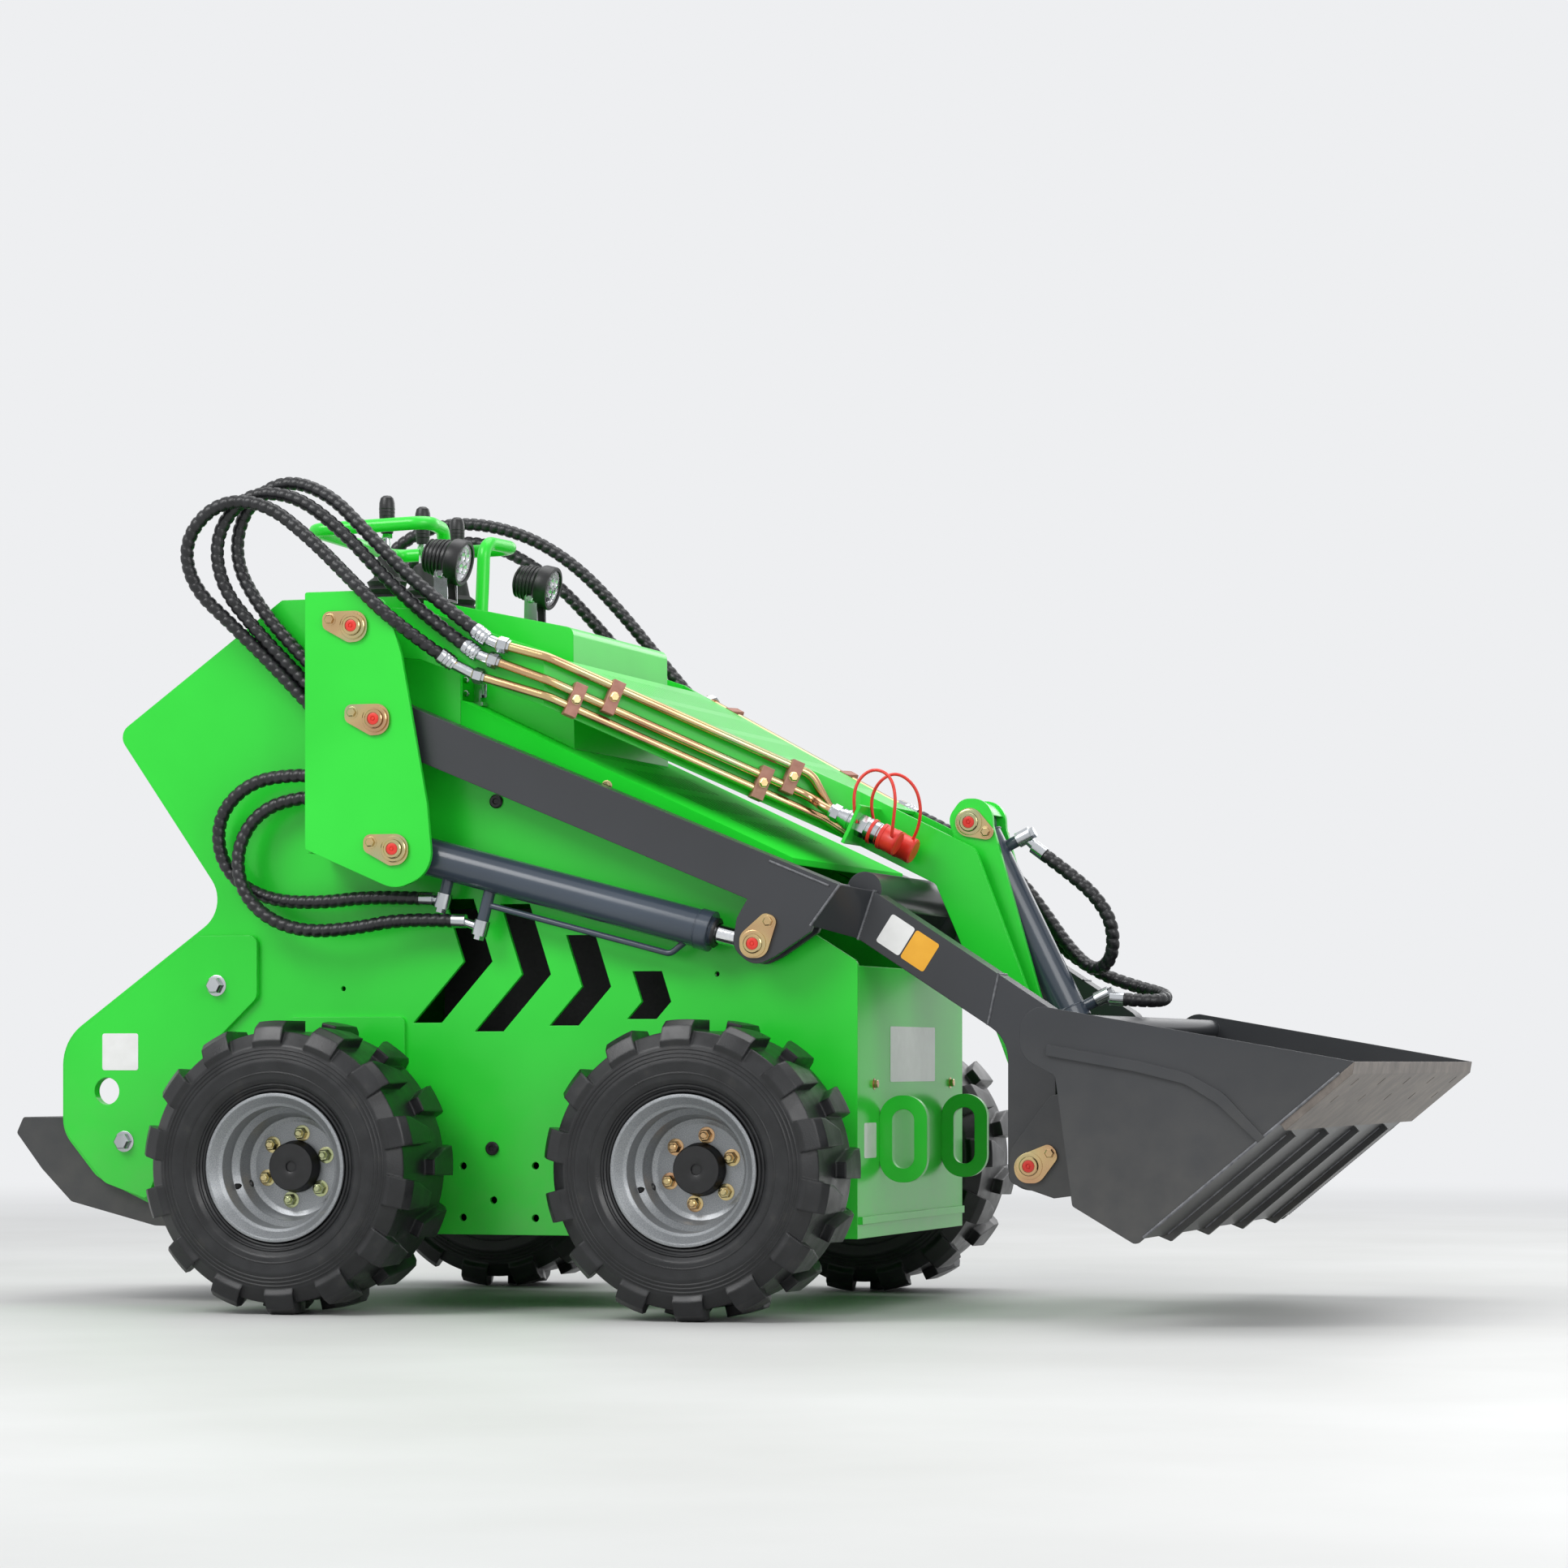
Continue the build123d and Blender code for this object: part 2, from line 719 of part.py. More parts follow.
def lift_arm():
    """Right-hand arm: straight run, jog inwards, front run and upright leg."""
    y_out = -ARM_LANE_Y - ARM_WIDTH / 2
    y_in = -ARM_LANE_Y + ARM_WIDTH / 2
    leg_out = -LEG_LANE_Y - ARM_WIDTH / 2
    leg_in = -LEG_LANE_Y + ARM_WIDTH / 2
    top_end, low_end = 305.0, 258.0
    top_start, low_start = 337.0, 312.0
    x, z = ARM_PIVOT
    rear = plate(
        [
            (x + 15, arm_plane_z(x + 15, 1), 0),
            (top_end, arm_plane_z(top_end, 1), 0),
            (low_end, arm_plane_z(low_end, -1), 0),
            (x - 15, arm_plane_z(x - 15, -1), 0),
        ],
        y_out,
        y_in,
    )
    rear += cross_bar(x, z, 42, y_out, y_in)
    rear -= cross_bar(x, z, PIN_RADIUS + RUNNING_FIT, y_out - 1, y_in + 1)
    jog_back = Face(
        Wire(
            Polyline(
                (top_end, y_out, arm_plane_z(top_end, 1)),
                (top_end, y_in, arm_plane_z(top_end, 1)),
                (low_end, y_in, arm_plane_z(low_end, -1)),
                (low_end, y_out, arm_plane_z(low_end, -1)),
                close=True,
            ).edges()
        )
    )
    jog_front = Face(
        Wire(
            Polyline(
                (top_start, leg_out, front_run_z(top_start, 1)),
                (top_start, leg_in, front_run_z(top_start, 1)),
                (low_start, leg_in, front_run_z(low_start, -1)),
                (low_start, leg_out, front_run_z(low_start, -1)),
                close=True,
            ).edges()
        )
    )
    jog = loft([jog_back, jog_front], ruled=True)
    fx, fz = FRONT_PIN
    half = ARM_DEPTH / 2
    front = plate(
        [
            (top_start, front_run_z(top_start, 1), 0),
            (fx + half, front_run_z(fx + half, 1), 20),
            (fx + half, fz - half, 36),
            (fx - half, fz - half, 36),
            (fx - half, front_run_z(fx - half, -1), 60),
            (low_start, front_run_z(low_start, -1), 0),
        ],
        leg_out,
        leg_in,
    )
    front -= cross_bar(fx, fz, PIN_RADIUS + RUNNING_FIT, leg_out - 1, leg_in + 1)
    shape = rear + jog + front
    px, pz = ROD_PIVOT
    for y0 in (y_out, y_in - 10):
        cheek = plate(
            [
                (px + 25, arm_plane_z(px + 25, 1) - 6, 0),
                (low_end + 30, arm_plane_z(low_end + 30, 1) - 6, 0),
                (low_end, arm_plane_z(low_end, -1) - 10, 0),
                (px + 34, pz - 20, 20),
                (px, pz - 36, 30),
                (px - 36, pz - 6, 30),
                (px - 28, pz + 40, 10),
            ],
            y0,
            y0 + 10,
        )
        cheek -= cross_bar(px, pz, PIN_RADIUS, y0 - 1, y0 + 11)
        shape += cheek
    return shape


CROSS_TUBE = (318.0, 660.0, 28.0)


def lift_arms():
    """Both arms, joined by the cross tube behind the legs."""
    x, z, radius = CROSS_TUBE
    tube = cross_bar(x, z, radius, -285, 285)
    right = lift_arm()
    return right + left_of(right) + tube


def arm_pins():
    """Rod-eye pin stubs in the arm cheeks, with their keeper plates."""
    x, z = ROD_PIVOT
    y_out = -ARM_LANE_Y - ARM_WIDTH / 2
    stub = cross_bar(x, z, PIN_RADIUS, y_out - 8, y_out + 10)
    keeper = plate(
        [
            (x - 22, z + 14, 20),
            (x - 22, z - 22, 20),
            (x + 20, z - 22, 20),
            (x + 40, z + 40, 12),
            (x + 18, z + 48, 12),
        ],
        y_out - 5,
        y_out,
    )
    inner = cross_bar(x, z, PIN_RADIUS, y_out + ARM_WIDTH - 10, y_out + ARM_WIDTH + 4)
    outer = stub + keeper
    return Compound(children=[outer, inner, left_of(outer), left_of(inner)])


# ================================================================ upper link
LINK_SLOPE = 0.4889
LINK_DROP = 87.0


def link_top_z(x):
    """Height of the link frame's top edge at x."""
    return 947.0 - LINK_SLOPE * x


BEND_REAR_X = -190.0
BEND_FRONT_X = 250.0


def link_frame():
    """Upper link: two plates that splay from the gooseneck out to the towers."""
    x, z = LINK_PIVOT
    fx, fz = LINK_FRONT_PIN
    lane = LINK_LANE_Y
    side = -lane
    rear = plate(
        [
            (x - 40, z + 40, 38),
            (-400, 1112, 20),
            (BEND_REAR_X, link_top_z(BEND_REAR_X), 0),
            (BEND_REAR_X, link_top_z(BEND_REAR_X) - LINK_DROP, 0),
            (-400, 1032, 20),
            (x - 40, z - 40, 38),
        ],
        side,
        side + LINK_SHEET,
    )
    for y0, y1 in ((side - 20, side), (side + LINK_SHEET, side + LINK_SHEET + 10)):
        rear += cross_bar(x, z, 30, y0, y1)
    rear -= cross_bar(x, z, PIN_RADIUS + RUNNING_FIT, side - 25, side + LINK_SHEET + 15)
    nose = -LINK_NOSE_Y
    splay_faces = []
    for bend_x, y in ((BEND_REAR_X, side), (BEND_FRONT_X, nose)):
        top = link_top_z(bend_x)
        splay_faces.append(
            Face(
                Wire(
                    Polyline(
                        (bend_x, y, top),
                        (bend_x, y + LINK_SHEET, top),
                        (bend_x, y + LINK_SHEET, top - LINK_DROP),
                        (bend_x, y, top - LINK_DROP),
                        close=True,
                    ).edges()
                )
            )
        )
    splay = loft(splay_faces, ruled=True)
    front = plate(
        [
            (BEND_FRONT_X, link_top_z(BEND_FRONT_X), 0),
            (440, link_top_z(440), 16),
            (530, 497, 0),
            (fx + 42, fz + 16, 20),
            (fx + 20, fz - 42, 36),
            (fx - 44, fz - 30, 36),
            (483, 420, 30),
            (416, 582, 20),
            (375, 676, 14),
            (BEND_FRONT_X, link_top_z(BEND_FRONT_X) - LINK_DROP, 0),
        ],
        nose,
        nose + LINK_SHEET,
    )
    front -= cross_bar(fx, fz, PIN_RADIUS, nose - 1, nose + LINK_SHEET + 1)
    right = rear + splay + front
    shape = right + left_of(right)
    cover_rear_x = -160.0
    cover_front_x = 300.0
    y_rear = lane + (LINK_NOSE_Y - lane) * (cover_rear_x - BEND_REAR_X) / (BEND_FRONT_X - BEND_REAR_X)
    sheet = 6.0
    outline = [
        (cover_rear_x, -y_rear + 4),
        (BEND_FRONT_X, -LINK_NOSE_Y + 4),
        (cover_front_x, -LINK_NOSE_Y + 4),
        (cover_front_x, LINK_NOSE_Y - 4),
        (BEND_FRONT_X, LINK_NOSE_Y - 4),
        (cover_rear_x, y_rear - 4),
    ]
    points = [(px, py, link_top_z(px)) for px, py in outline]
    cover = extrude(
        Face(Wire(Polyline(*points, close=True).edges())), amount=sheet, dir=(-LINK_SLOPE, 0, -1)
    )
    slots = []
    # group: x where its slots start, y of its outermost row, number of rows
    for x, y, rows in ((-130, -240, 21), (-35, -192, 17), (60, -144, 13), (155, -72, 7)):
        slots += slot_rows((x,), y, 24, rows, 0, 72, 4, 700, 1050)
    cover = cover.cut(*slots)
    return shape + cover


# link pipes: height of the pipe below the plate's top edge
PIPE_DROPS = (10.0, 46.0, 72.0)
PIPE_RADIUS = 7.5
PIPE_STAND_OFF = 13.5
CLAMP_SIZE = (20.0, 54.0, 23.0)

SPLAY_RUN = Vector(
    BEND_FRONT_X - BEND_REAR_X,
    LINK_LANE_Y - LINK_NOSE_Y,
    -LINK_SLOPE * (BEND_FRONT_X - BEND_REAR_X),
)
SPLAY_OUT = Vector(LINK_LANE_Y - LINK_NOSE_Y, BEND_REAR_X - BEND_FRONT_X, 0).normalized()


def plate_face_y(x):
    """Distance of the splayed plate's outer face from the middle at x."""
    share = (x - BEND_REAR_X) / (BEND_FRONT_X - BEND_REAR_X)
    return LINK_LANE_Y + (LINK_NOSE_Y - LINK_LANE_Y) * share


def splay_point(x, drop):
    """Point on the right-hand splayed plate's outer face, a drop below its top edge."""
    return Vector(x, -plate_face_y(x), link_top_z(x) - drop)


# pipe: x of its rear end and its drop there on the right-hand side
PIPE_STARTS = ((-243.0, 12.0), (-259.0, 42.0), (-284.0, 74.0))
# the left-hand pipes start further forward
LEFT_PIPE_STARTS = ((-135.0, 10.0), (-155.0, 46.0))


def rear_top_z(x):
    """Height of the link's top edge behind the bend."""
    return link_top_z(BEND_REAR_X) + 0.343 * (BEND_REAR_X - x)


def pipe_start(x, drop):
    """Rear end of a pipe beside the straight rear plate."""
    return Vector(x, -LINK_LANE_Y - PIPE_STAND_OFF, rear_top_z(x) - drop)


def pipe_point(x, drop):
    """Middle of a pipe beside the splayed plate."""
    return splay_point(x, drop) + SPLAY_OUT * PIPE_STAND_OFF


def link_pipes():
    """Steel pipes along the link, three on the right and two on the left, with their fittings."""
    pieces = []
    lane_one, lane_two = COUPLER_STARTS
    ends = [
        [pipe_point(178, PIPE_DROPS[0]), lane_two - COUPLER_DIR * 29, lane_two],
        [pipe_point(176, PIPE_DROPS[1]), lane_one - COUPLER_DIR * 14, lane_one],
        [pipe_point(196, PIPE_DROPS[2]), Vector(254, -99, 744)],
    ]
    routes = (UPPER_TOP, UPPER_MID, UPPER_LOW)
    for (x, drop), front_drop, end, route in zip(PIPE_STARTS, PIPE_DROPS, ends, routes):
        bend = pipe_point(BEND_REAR_X + 0.28 * PIPE_STAND_OFF, front_drop)
        start = pipe_start(x, drop)
        pieces.append(tube([start, bend] + end, PIPE_RADIUS, 40.0))
        pieces.append(fitting(route, True, start, (start - bend).normalized()))
    for (x, drop), rear, front in zip(LEFT_PIPE_STARTS, (FAR_TOP, FAR_MID), (TILT_UPPER, TILT_LOWER)):
        start = pipe_point(x, drop)
        start = Vector(start.X, -start.Y, start.Z)
        bend = pipe_point(BEND_FRONT_X - 0.24 * PIPE_STAND_OFF, drop)
        bend = Vector(bend.X, -bend.Y, bend.Z)
        tip = bend + COUPLER_DIR * 9
        pieces.append(tube([start, bend, tip], PIPE_RADIUS, 40.0))
        pieces.append(fitting(rear, True, start, (start - bend).normalized()))
        pieces.append(fitting(front, False, tip, COUPLER_DIR))
    shape = pieces[0]
    for piece in pieces[1:]:
        shape += piece
    return shape - coupler_bracket()


# one coupler takes the middle pipe, the other the upper one
COUPLER_STARTS = (Vector(224, -153.5, 791), Vector(238, -110, 780))
COUPLER_DIR = Vector(1, 0, -LINK_SLOPE).normalized()
BRACKET_X = 267.0


def coupler_bracket():
    """Plate welded square to the link's nose, bored for the two couplers."""
    middle = (BRACKET_X, -LINK_NOSE_Y - 54, 768)
    seat = Plane(origin=middle, x_dir=(0, 1, 0), z_dir=COUPLER_DIR)
    shape = seat * Box(112, 66, 6)
    for start in COUPLER_STARTS:
        shape -= round_bar(start, start + COUPLER_DIR * 60, 14)
    return shape


def quick_couplers():
    """Two hydraulic quick couplers that stand through the bracket on the link's nose."""
    pieces = []
    for start in COUPLER_STARTS:
        coupler = round_bar(start, start + COUPLER_DIR * 22, 12)
        nut = Plane(origin=start + COUPLER_DIR * 4, z_dir=COUPLER_DIR) * RegularPolygon(14.5, 6)
        coupler += extrude(nut, amount=12)
        coupler += round_bar(start + COUPLER_DIR * 22, start + COUPLER_DIR * 66, 14)
        collar = Plane(origin=start + COUPLER_DIR * 52, z_dir=COUPLER_DIR) * RegularPolygon(18, 6)
        coupler += extrude(collar, amount=14)
        coupler += round_bar(start + COUPLER_DIR * 66, start + COUPLER_DIR * 92, 17.5)
        pieces.append(coupler)
    return Compound(children=pieces)


def coupler_caps():
    """Rubber dust caps on the couplers."""
    caps = []
    for start in COUPLER_STARTS:
        caps.append(round_bar(start + COUPLER_DIR * 92, start + COUPLER_DIR * 122, 20))
    return Compound(children=caps)


def end_run(route, last=True):
    """End point of a hose route and the direction in which the hose leaves it."""
    tip, before = (route[-1], route[-2]) if last else (route[0], route[1])
    end = Vector(*tip)
    return end, (end - Vector(*before)).normalized()


def fitting(route, last, pipe_end, pipe_out):
    """Crimped sleeve on a hose's end, and the hexagon nut that holds it on a pipe's end."""
    end, out = end_run(route, last)
    heel = end + out * 24
    nut = pipe_end + pipe_out * 20
    shape = round_bar(end, heel, HOSE_RADIUS + 2)
    shape += round_bar(heel - out * 6, nut - pipe_out * 6, 7)
    nut_plane = Plane(origin=pipe_end + pipe_out * 4, z_dir=pipe_out)
    shape += extrude(nut_plane * RegularPolygon(11.5, 6), amount=16)
    return shape + round_bar(pipe_end, pipe_end + pipe_out * 4, 9)


def pipe_clamps():
    """Clamp blocks that hold the pipes to the link plates, two pipes to a block."""
    length, width, height = CLAMP_SIZE
    right = []
    left = []
    # clamp: x of its middle, the two pipes that it holds
    for x, first, second in ((-150.0, 1, 2), (-98.0, 0, 1), (108.0, 1, 2), (150.0, 0, 1)):
        middle = (PIPE_DROPS[first] + PIPE_DROPS[second]) / 2
        seat = Plane(origin=splay_point(x, middle), x_dir=SPLAY_RUN, z_dir=SPLAY_OUT)
        clamp = seat * Pos(0, 0, height / 2) * Box(length, width, height)
        for drop in (PIPE_DROPS[first], PIPE_DROPS[second]):
            start = splay_point(x - 20, drop) + SPLAY_OUT * PIPE_STAND_OFF
            end = splay_point(x + 20, drop) + SPLAY_OUT * PIPE_STAND_OFF
            clamp -= round_bar(start, end, PIPE_RADIUS + 0.05)
        right.append(clamp)
        if second == 1:
            left.append(left_of(clamp))
    return Compound(children=right + left)


# ================================================================ front carriage
def front_carriage():
    """Pair of plates held upright by the arms and the link; carries the tilt cylinder."""
    ex, ez = TILT_PIVOT
    tx, tz = LINK_FRONT_PIN
    mx, mz = FRONT_PIN
    outer = -CARRIAGE_OUTER_Y
    cheek = plate(
        [
            (ex - 36, ez + 8, 26),
            (ex - 14, ez + 38, 24),
            (ex + 36, ez + 38, 33),
            (ex + 38, ez - 6, 8),
            (541, 492, 30),
            (tx + 30, tz + 20, 20),
            (mx + 30, mz + 10, 30),
            (mx + 20, mz - 34, 26),
            (mx - 30, mz - 28, 26),
            (tx - 40, tz + 10, 40),
            (470, 500, 40),
        ],
        outer,
        outer + CARRIAGE_SHEET,
    )
    cheek -= cross_bar(ex, ez, PIN_RADIUS, outer - 1, outer + CARRIAGE_SHEET + 1)
    cheek -= cross_bar(tx, tz, PIN_RADIUS + RUNNING_FIT, outer - 1, outer + CARRIAGE_SHEET + 1)
    tube = cross_bar(mx, mz, 30, -LEG_LANE_Y + ARM_WIDTH / 2 + 3, LEG_LANE_Y - ARM_WIDTH / 2 - 3)
    tube -= cross_bar(mx, mz, PIN_RADIUS, -260, 260)
    # curved cap that ties the cheeks together over the cylinder's top eye
    inner = -outer - CARRIAGE_SHEET
    cap = cross_bar(ex, ez, 35.5, -inner, inner) - cross_bar(ex, ez, 31.5, -inner, inner)
    cap = cap & block(ex - 6, ex + 40, -inner, inner, ez + 12, ez + 40)
    return cheek + left_of(cheek) + tube + cap


def carriage_pins():
    """Tilt cylinder's top pin and the link's front pin."""
    ex, ez = TILT_PIVOT
    top = cross_bar(ex, ez, PIN_RADIUS, -CARRIAGE_OUTER_Y - 8, CARRIAGE_OUTER_Y + 8)
    return top


def link_front_pin():
    """Pin through the link's nose and the carriage plates."""
    tx, tz = LINK_FRONT_PIN
    return cross_bar(tx, tz, PIN_RADIUS, -LINK_NOSE_Y - 8, LINK_NOSE_Y + 8)


# ================================================================ quick attach and bucket
CHEEK_INNER_Y = LEG_LANE_Y + ARM_WIDTH / 2 + 2
CHEEK_SHEET = 10.0
ATTACH_X = 660.0


def quick_attach():
    """Attachment frame: two cheeks outside the legs, a back plate and the rod lugs."""
    mx, mz = FRONT_PIN
    cheek = plate(
        [
            (mx - 32, mz + 24, 20),
            (622, 341, 16),
            (ATTACH_X + 12, 350, 0),
            (ATTACH_X + 12, 190, 0),
            (628, 184, 6),
            (mx - 34, 208, 16),
        ],
        -CHEEK_INNER_Y - CHEEK_SHEET,
        -CHEEK_INNER_Y,
    )
    cheek -= cross_bar(mx, mz, PIN_RADIUS, -CHEEK_INNER_Y - CHEEK_SHEET - 1, -CHEEK_INNER_Y + 1)
    back = block(ATTACH_X, ATTACH_X + 12, -CHEEK_INNER_Y, CHEEK_INNER_Y, 190, 440)
    rx, rz = TILT_ROD_PIN
    lug = plate(
        [
            (rx - 26, rz + 26, 24),
            (ATTACH_X, rz + 40, 0),
            (ATTACH_X, rz - 60, 0),
            (rx - 26, rz - 26, 24),
        ],
        -31,
        -23,
    )
    lug -= cross_bar(rx, rz, PIN_RADIUS, -32, -22)
    return cheek + left_of(cheek) + back + lug + left_of(lug)


def attach_pins():
    """Front pins with keeper plates, and the stubs that hold the tilt rod's eye."""
    mx, mz = FRONT_PIN
    outer_y = -CHEEK_INNER_Y - CHEEK_SHEET
    pin = cross_bar(mx, mz, PIN_RADIUS, outer_y - 8, -LEG_LANE_Y + ARM_WIDTH / 2 + 2)
    keeper = plate(
        [
            (mx - 26, mz + 12, 22),
            (mx - 20, mz - 26, 22),
            (mx + 16, mz - 26, 22),
            (mx + 46, mz + 14, 12),
            (mx + 34, mz + 36, 12),
        ],
        outer_y - 5,
        outer_y,
    )
    front = pin + keeper
    rx, rz = TILT_ROD_PIN
    stub = cross_bar(rx, rz, PIN_RADIUS, -34, -23)
    return Compound(children=[front, left_of(front), stub, left_of(stub)])


BUCKET_TIP = (1133.0, 393.0)
FLOOR_SLOPE = 0.8338
BLADE_REAR_X = 1024.0
BLADE_THICKNESS = 12.0


def floor_z(x):
    """Height of the floor's lower face at x, with the bucket rolled back."""
    return BUCKET_TIP[1] - FLOOR_SLOPE * (BUCKET_TIP[0] - x)


# outer line of the folded floor and back, front to rear
BUCKET_FOLDS = [(1112, floor_z(1112)), (822, floor_z(822)), (720, 186), (694, 366), (684, 440)]


def under_floor_bar(y, front_x, on_attachment):
    """Bar under the bucket's floor and up its back, as far as the attachment frame or not."""
    lean = atan2(FLOOR_SLOPE, 1)
    deep_x, deep_z = 12 * sin(lean), 12 * cos(lean)
    corners = [
        (front_x, floor_z(front_x), 0),
        (front_x + deep_x, floor_z(front_x) - deep_z, 0),
        (822 + deep_x, floor_z(822) - deep_z, 0),
        (718, 170, 0),
    ]
    if on_attachment:
        corners += [(ATTACH_X + 12, 250, 0), (ATTACH_X + 12, 400, 0), (700, 400, 0)]
    else:
        corners += [(700, 182, 0), (694, 230, 0)]
    bar = plate(corners + [(760, 260, 0)], y - 6, y + 6)
    above = plate([(x, z, 0) for x, z in BUCKET_FOLDS] + [(684, 600, 0), (1112, 600, 0)], y - 7, y + 7)
    return bar - above


def bucket_shell():
    """Welded bucket: sides with stiffening bands, folded floor, bars below and a rear bar."""
    half = BUCKET_WIDTH / 2
    side = plate(
        [
            (670, 474, 0),
            (BUCKET_TIP[0], BUCKET_TIP[1], 0),
            (BLADE_REAR_X, floor_z(BLADE_REAR_X), 0),
            (810, floor_z(810), 10),
            (714, 180, 6),
            (700, 283, 0),
            (688, 372, 10),
            (634, 400, 36),
            (634, 474, 35),
        ],
        -half,
        -half + BUCKET_SHEET,
    )
    band = plate(
        [
            (674, 402, 4),
            (810, 378, 60),
            (884, 360, 60),
            (932, 331, 60),
            (992, 275, 0),
            (1002, 283, 0),
            (940, 348, 60),
            (888, 376, 60),
            (812, 394, 60),
            (676, 418, 4),
        ],
        -half - 5,
        -half,
    )
    inner = half - BUCKET_SHEET
    skin = bent_sheet(BUCKET_FOLDS, -BUCKET_SHEET, -inner, inner)
    rear_bar = cross_bar(688, 448, 16, -inner, inner)
    shape = side + left_of(side) + band + left_of(band) + skin + rear_bar
    for y, on_attachment in ((-395, False), (-130, True), (130, True), (395, False)):
        shape += under_floor_bar(y, 1010, on_attachment)
    return shape


def cutting_edge():
    """Hard steel blade welded under the floor's front edge, with two rows of slots."""
    lean = atan2(FLOOR_SLOPE, 1)
    down_x = BLADE_THICKNESS * sin(lean)
    down_z = -BLADE_THICKNESS * cos(lean)
    bevel = 14.0
    blade = plate(
        [
            (BUCKET_TIP[0], BUCKET_TIP[1], 0),
            (BLADE_REAR_X, floor_z(BLADE_REAR_X), 0),
            (BLADE_REAR_X + down_x, floor_z(BLADE_REAR_X) + down_z, 0),
            (
                BUCKET_TIP[0] - bevel * cos(lean) + down_x,
                BUCKET_TIP[1] - bevel * sin(lean) + down_z,
                0,
            ),
        ],
        -BUCKET_WIDTH / 2,
        BUCKET_WIDTH / 2,
    )
    slots = []
    for x in (1078, 1108):
        for step in range(-2, 3):
            middle = (x, step * 225, floor_z(x))
            seat = Plane(origin=middle, x_dir=(0, 1, 0), z_dir=(-FLOOR_SLOPE, 0, 1))
            slots.append(seat * Box(7, 16, 40))
    return blade.cut(*slots)


# ================================================================ cylinders
def along_cylinder(base, eye, y, along, out):
    """Point a distance along a cylinder's axis from its base pin and out to its port side."""
    run_x, run_z = eye[0] - base[0], eye[1] - base[1]
    length = hypot(run_x, run_z)
    ux, uz = run_x / length, run_z / length
    return Vector(base[0] + ux * along + uz * out, y, base[1] + uz * along - ux * out)


def cylinder_parts(base, eye, y, barrel_length, eye_width, ports, feed):
    """Barrel and rod of a hydraulic cylinder lying in the plane Y = y.

    ports lists (distance along, reach) of the port bosses; feed is the outer pipe's
    (start along, end along, distance out), or None.
    """
    length = hypot(eye[0] - base[0], eye[1] - base[1])

    def point(along, out=0.0):
        return along_cylinder(base, eye, y, along, out)

    half = eye_width / 2
    bx, bz = base
    ex, ez = eye
    barrel = cross_bar(bx, bz, 27, y - half, y + half)
    barrel += round_bar(point(20), point(barrel_length - 26), BARREL_RADIUS)
    barrel += round_bar(point(barrel_length - 26), point(barrel_length - 6), BARREL_RADIUS + 2)
    barrel += round_bar(point(barrel_length - 6), point(barrel_length), BARREL_RADIUS - 7)
    side = 1 if ports[0][1] > 0 else -1
    for along, reach in ports:
        barrel += round_bar(point(along, side * (BARREL_RADIUS - 6)), point(along, reach), 9.5)
    if feed:
        start, end, out = feed
        drop = side * out
        route = [point(start, drop), point(end - 20, drop), point(end, side * (BARREL_RADIUS - 5))]
        path = FilletPolyline(*route, radius=14)
        mouth = Plane(origin=path @ 0, z_dir=path % 0)
        barrel += sweep(mouth * Circle(5), path=path)
    barrel -= cross_bar(bx, bz, PIN_RADIUS + RUNNING_FIT, y - half - 1, y + half + 1)
    barrel -= round_bar(point(45), point(barrel_length + 1), ROD_RADIUS + RUNNING_FIT)
    rod = round_bar(point(50), point(length - 18), ROD_RADIUS)
    rod += cross_bar(ex, ez, 27, y - half, y + half)
    rod -= cross_bar(ex, ez, PIN_RADIUS + RUNNING_FIT, y - half - 1, y + half + 1)
    return barrel, rod


def banjo(port, port_out, route):
    """Banjo bolt and eye on a port, with the sleeve that holds the hose's end."""
    eye = port + port_out * 12
    end, out = end_run(route)
    heel = end + out * 22
    shape = round_bar(port, port + port_out * 24, 12.5)
    shape += extrude(Plane(origin=port + port_out * 24, z_dir=port_out) * RegularPolygon(9, 6), amount=7)
    shape += round_bar(end, heel, HOSE_RADIUS + 1.5)
    return shape + round_bar(heel - out * 6, eye, 7)


# ================================================================ hoses
HOSE_RADIUS = 9.5

# each route lists (x, y, z) from the chassis to the moving end, on the side named
UPPER_LOW = [
    (-553, -345, 925),
    (-630, -350, 1008),
    (-715, -362, 1092),
    (-781, -377, 1156),
    (-790, -388, 1230),
    (-731, -392, 1289),
    (-645, -395, 1285),
    (-560, -402, 1220),
    (-482, -412, 1146),
    (-418, -412, 1086),
    (-355, -372, 1036),
]
UPPER_MID = [
    (-553, -345, 958),
    (-612, -349, 1016),
    (-676, -355, 1082),
    (-737, -363, 1156),
    (-745, -368, 1240),
    (-690, -370, 1303),
    (-605, -371, 1299),
    (-525, -370, 1240),
    (-449, -369, 1160),
    (-379, -366, 1096),
    (-316, -361, 1050),
]
UPPER_TOP = [
    (-553, -342, 992),
    (-612, -343, 1050),
    (-673, -344, 1116),
    (-722, -344, 1198),
    (-706, -345, 1282),
    (-635, -348, 1327),
    (-553, -354, 1301),
    (-482, -362, 1232),
    (-413, -366, 1165),
    (-356, -364, 1117),
    (-300, -360, 1074),
]
FAR_TOP = [
    (-553, 345, 925),
    (-630, 348, 1008),
    (-712, 352, 1095),
    (-768, 356, 1185),
    (-760, 358, 1272),
    (-690, 360, 1325),
    (-595, 362, 1338),
    (-490, 364, 1312),
    (-400, 366, 1258),
    (-320, 368, 1178),
    (-248, 368, 1092),
    (-186, 362, 1022),
]
